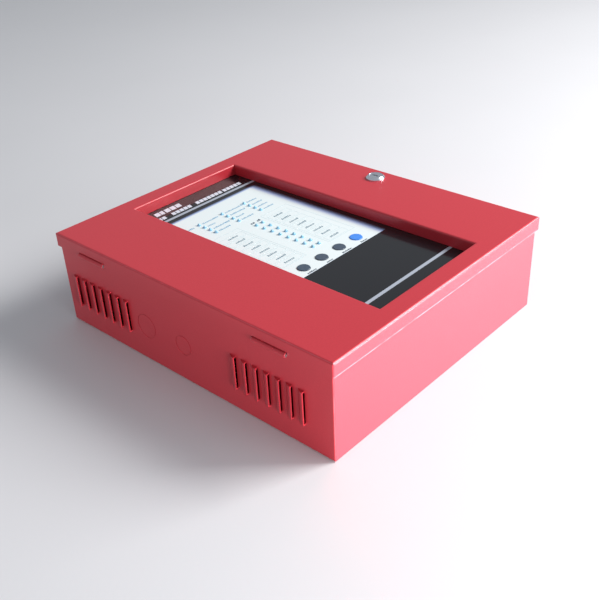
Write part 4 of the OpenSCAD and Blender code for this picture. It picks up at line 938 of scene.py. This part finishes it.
# The mains side: an ivory screw block with brass screws, and a black fuse holder beside it
# with a slotted cap. Both are screwed to the back of the case.
ivory = finish_of("ivory_moulding", (0.72, 0.69, 0.60), (0.66, 0.63, 0.54), 0.006, (0.35, 0.48),
                  0.0005, 0.00002)
dress(ivory, "mains_terminal_block")
block_low, block_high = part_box("mains_terminal_block")
holder_low, holder_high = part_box("mains_fuse_holder")
screw_spacing, screw_r, screw_rim = 0.011, 0.0022, 0.0019
screw_foot, screw_edge, screw_face = 0.0045, 0.0022, 0.0019
slot_half, slot_off, slot_side, slot_ends = 0.0017, 0.0010, 0.0006, (0.0020, 0.0016)
cap_spacing, cap_round = 0.011, [(0.0032, -0.0002), (0.0032, 0.0010), (0.0028, 0.0013)]
cap_half, cap_ends = (0.0065, 0.0032), (-0.0001, 0.0007)
block_screws, holder_cap = bmesh.new(), bmesh.new()
block_top = block_high.z
for k in (-1, 0, 1):
    x = (block_low.x + block_high.x) / 2 + k * screw_spacing
    y = (block_low.y + block_high.y) / 2
    add_turned(block_screws, [(screw_r, block_top - screw_foot), (screw_r, block_top - screw_edge),
                              (screw_rim, block_top - screw_face)], (x, y, 0))
    for side in (-1, 1):
        mid = y + side * slot_off
        add_block(block_screws, (x - slot_half, mid - slot_side, block_top - slot_ends[0]),
                  (x + slot_half, mid + slot_side, block_top - slot_ends[1]))
make_piece("mains_block_screws", block_screws, plain_brass, "case")
x, y = (holder_low.x + holder_high.x) / 2, (holder_low.y + holder_high.y) / 2
for k in (-1, 1):
    add_turned(holder_cap, cap_round, (x + k * cap_spacing, y, holder_high.z))
add_block(holder_cap, (x - cap_half[0], y - cap_half[1], holder_high.z + cap_ends[0]),
          (x + cap_half[0], y + cap_half[1], holder_high.z + cap_ends[1]), 0.0002)
make_piece("fuse_holder_caps", holder_cap, black_mould, "case")


# Two sealed lead-acid batteries stand in the foot of the case in moulded grey ABS: a ribbed
# body, a welded lid with a vent strip, and a plain printed sticker on the front.
lid_deep, body_round, seam_gap, seam_in, seam_lap = 0.0085, 0.0016, 0.0004, 0.0008, 0.002
rib_first, rib_pitch, rib_wide, rib_in, rib_ends = 0.012, 0.006, 0.0016, 0.004, (-0.0005, 0.0004)
vent_half, vent_round, vent_y, vent_z = 0.014, 0.0003, (-0.001, 0.0004), (0.020, 0.046)
sticker_in, sticker_foot, sticker_gap, sticker_ends = 0.007, 0.039, 0.004, (-0.00005, 0.00012)
blue_band_ends, blue_band_in, blue_band_high = (0.0065, 0.0003), 0.0001, 0.00018
bar_shares, bar_first, bar_pitch, bar_in = (0.52, 0.74, 0.40, 0.62), 0.0105, 0.0042, 0.004
bar_wide, bar_high = 0.0013, 0.00017
abs_grey = finish_of("battery_abs", (0.045, 0.048, 0.055), (0.060, 0.063, 0.072), 0.008, (0.42, 0.56),
                     0.0007, 0.00003)
lid_black = finish_of("battery_lid", (0.020, 0.021, 0.024), (0.03, 0.031, 0.035), 0.008, (0.38, 0.5),
                      0.0007, 0.00003)
sticker_white = finish_of("battery_sticker", (0.66, 0.67, 0.66), (0.60, 0.61, 0.60), 0.01, (0.3, 0.4),
                          0.002, 0.000006)
bodies, lids, stickers, sticker_bars, sticker_bands = [bmesh.new() for _ in range(5)]
for low, high in solids_of("batteries"):
    seam = high.y - lid_deep
    add_block(bodies, low, (high.x, seam - seam_gap, high.z), body_round)
    add_block(bodies, (low.x + seam_in, seam - seam_lap, low.z + seam_in),
              (high.x - seam_in, seam + seam_lap, high.z - seam_in))
    for k in range(3):
        y = low.y + rib_first + k * rib_pitch
        add_block(bodies, (low.x + rib_in, y, high.z + rib_ends[0]),
                  (high.x - rib_in, y + rib_wide, high.z + rib_ends[1]))
    add_block(lids, (low.x, seam, low.z), high, body_round)
    middle_x = (low.x + high.x) / 2
    add_block(lids, (middle_x - vent_half, high.y + vent_y[0], low.z + vent_z[0]),
              (middle_x + vent_half, high.y + vent_y[1], low.z + vent_z[1]), vent_round)
    top, left, right = high.z, low.x + sticker_in, high.x - sticker_in
    y0, y1 = high.y - sticker_foot, seam - sticker_gap
    add_block(stickers, (left, y0, top + sticker_ends[0]), (right, y1, top + sticker_ends[1]))
    add_block(sticker_bands, (left + blue_band_in, y1 - blue_band_ends[0], top),
              (right - blue_band_in, y1 - blue_band_ends[1], top + blue_band_high))
    for k, share in enumerate(bar_shares):
        y = y1 - bar_first - k * bar_pitch
        bar_end = left + bar_in + share * (right - left - 2 * bar_in)
        add_block(sticker_bars, (left + bar_in, y, top), (bar_end, y + bar_wide, top + bar_high))
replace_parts(make_piece("battery_bodies", bodies, abs_grey, "case"), "batteries")
make_piece("battery_lids", lids, lid_black, "case")
make_piece("battery_stickers", stickers, sticker_white, "case")
make_piece("battery_sticker_bars", sticker_bars, inks["dark_ink"], "case")
band_blue = finish_of("sticker_band", (0.04, 0.16, 0.42), (0.05, 0.19, 0.48), 0.006, (0.3, 0.4),
                      0.002, 0.000006)
make_piece("battery_sticker_bands", sticker_bands, band_blue, "case")


# Stranded copper wires in coloured PVC, cut to length and dressed by hand: battery leads
# with crimped push-on sleeves, brown, blue and striped mains wires, and a yellow pair. Each
# route is a run of points in millimetres.
wire_r = 0.001
wire_bend_steps = 8
stripe_scale, stripe_share = 110.0, 0.6
wire_colours = {
    "red": ((0.50, 0.012, 0.012), (0.42, 0.010, 0.010)),
    "black": ((0.016, 0.016, 0.018), (0.026, 0.026, 0.028)),
    "blue": ((0.02, 0.09, 0.42), (0.016, 0.075, 0.36)),
    "brown": ((0.16, 0.06, 0.022), (0.13, 0.048, 0.018)),
    "green": ((0.05, 0.30, 0.07), (0.62, 0.52, 0.04)),
    "yellow": ((0.66, 0.50, 0.05), (0.58, 0.43, 0.04)),
}
pvc = {name: finish_of("pvc_" + name, *pair, 0.006, (0.34, 0.46), 0.0008, 0.000012)
       for name, pair in wire_colours.items()}

tree = pvc["green"].node_tree
run = put(tree, "TexWave", {"wave_type": "BANDS", "bands_direction": "DIAGONAL"}, Vector=where(tree),
          Scale=stripe_scale, Distortion=0.0)
stripe = put(tree, "ValToRGB", Fac=run.outputs["Fac"])
stripe.color_ramp.interpolation = "CONSTANT"
stripe.color_ramp.elements[0].color = (*wire_colours["green"][0], 1)
stripe.color_ramp.elements[1].color = (*wire_colours["green"][1], 1)
stripe.color_ramp.elements[1].position = stripe_share
tree.links.new(stripe.outputs[0], shader_of(pvc["green"]).inputs["Base Color"])


def wire_piece(name, points, colour):
    """A round wire along a smooth run through points in millimetres."""
    spots = [Vector(p) * millimetre for p in points]
    run = []
    for k in range(len(spots) - 1):
        a, b = spots[max(k - 1, 0)], spots[k]
        c, d = spots[k + 1], spots[min(k + 2, len(spots) - 1)]
        for step in range(wire_bend_steps):
            t = step / wire_bend_steps
            run.append(0.5 * (2 * b + (c - a) * t + (2 * a - 5 * b + 4 * c - d) * t * t
                              + (3 * b - a - 3 * c + d) * t ** 3))
    run.append(spots[-1])
    curve = bpy.data.curves.new(name, "CURVE")
    curve.dimensions = "3D"
    curve.bevel_depth = wire_r
    curve.bevel_resolution = 3
    curve.use_fill_caps = True
    spline = curve.splines.new("POLY")
    spline.points.add(len(run) - 1)
    for point, spot in zip(spline.points, run):
        point.co = (*spot, 1)
    curve.materials.append(pvc[colour])
    wire = show(name, curve)
    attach(wire, "case")
    return wire


wire_runs = {
    "battery_lead_red": ("red", [
        (-80, -63.75, 57.8), (-80, -61.75, 57.8), (-80, -58.75, 57.8), (-62, -53, 52.4), (-30, -55, 41.4),
        (6, -56, 27.4), (24.38, -58, 22.6), (30.38, -52, 14.6), (30.38, -47.8, 14.6), (30.38, -45, 14.6)]),
    "battery_lead_black": ("black", [
        (80, -63.75, 57.8), (80, -61.75, 57.8), (80, -58.75, 57.8), (66, -53, 49.4), (52, -55, 35.4),
        (42.46, -57, 22.6), (35.46, -52, 14.6), (35.46, -47.8, 14.6), (35.46, -45, 14.6)]),
    "battery_link_blue": ("blue", [
        (-14, -63.75, 57.8), (-14, -62.15, 57.8), (-14, -59.75, 57.8), (0, -55.9, 57.4),
        (14, -59.75, 57.8), (14, -62.15, 57.8), (14, -63.75, 57.8)]),
    "mains_live_to_fuse": ("brown", [
        (105, 125, 6.2), (105, 122, 6.2), (97, 120, 6.2), (94.5, 116, 6.2), (97, 113, 6.2),
        (99.4, 113, 6.2), (101, 113, 6.2)]),
    "mains_live_to_transformer": ("brown", [
        (131, 113, 6.2), (133, 113, 6.2), (136, 113, 6.2), (139, 107, 9.2), (140, 97, 18.2),
        (145.15, 82, 24.7), (142.15, 72, 28.7), (138.55, 72, 28.7), (136.15, 72, 28.7)]),
    "mains_neutral": ("blue", [
        (127, 125, 6.2), (127, 121.4, 7.2), (127, 120.4, 13.2), (127, 116, 18.2), (129, 107, 22.2),
        (135, 91, 32.7), (146.15, 68, 36.7), (142.15, 56, 34.7), (138.55, 56, 34.7), (136.15, 56, 34.7)]),
    "mains_earth": ("green", [
        (116, 139, 6.2), (116, 144, 6.2), (101, 146, 6.2), (93, 141, 6.2), (93.5, 133, 7.2),
        (92.15, 128, 7.2), (89.15, 128, 7.2), (87.15, 128, 7.2)]),
    "secondary_outer": ("yellow", [
        (87.85, 50, 28.7), (86.25, 50, 28.7), (83.85, 50, 28.7), (80.85, 42, 26.7), (79.85, 20, 24.7),
        (78.85, -10, 21.7), (71.85, -57, 17.6), (50.54, -61, 15.6), (40.54, -53, 14.6),
        (40.54, -48.2, 14.6), (40.54, -45, 14.6)]),
    "secondary_inner": ("yellow", [
        (87.85, 58, 28.7), (85.45, 58, 28.7), (81.85, 58, 28.7), (77.85, 48, 26.7), (75.85, 20, 24.7),
        (74.85, -10, 21.7), (67.85, -51, 17.6), (52.62, -54, 15.6), (45.62, -50, 14.6),
        (45.62, -47, 14.6), (45.62, -45, 14.6)]),
}
wires = {}
for name, (colour, points) in wire_runs.items():
    wires[name] = wire_piece(name, points, colour)
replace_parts(wires["battery_lead_red"], "battery_leads")
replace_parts(wires["mains_live_to_fuse"], "mains_wires")
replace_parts(wires["secondary_outer"], "secondary_wires")

sleeve_half, sleeve_ends, sleeve_round = (0.0036, 0.0014), (0.0014, 0.0006), 0.0006
neck = [(0.0016, 0.0003), (0.0016, 0.0044), (0.0013, 0.0050)]
for (low, high), colour, place in zip(solids_of("battery_tabs"), ("red", "blue", "blue", "black"), "abcd"):
    sleeves = bmesh.new()
    x, z = (low.x + high.x) / 2, (low.z + high.z) / 2
    add_block(sleeves, (x - sleeve_half[0], low.y + sleeve_ends[0], z - sleeve_half[1]),
              (x + sleeve_half[0], high.y + sleeve_ends[1], z + sleeve_half[1]), sleeve_round)
    add_turned(sleeves, [(radius, high.y + up) for radius, up in neck], (x, 0, z), "Y", 16)
    make_piece("tab_sleeve_" + place, sleeves, pvc[colour], "case")


low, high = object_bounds()
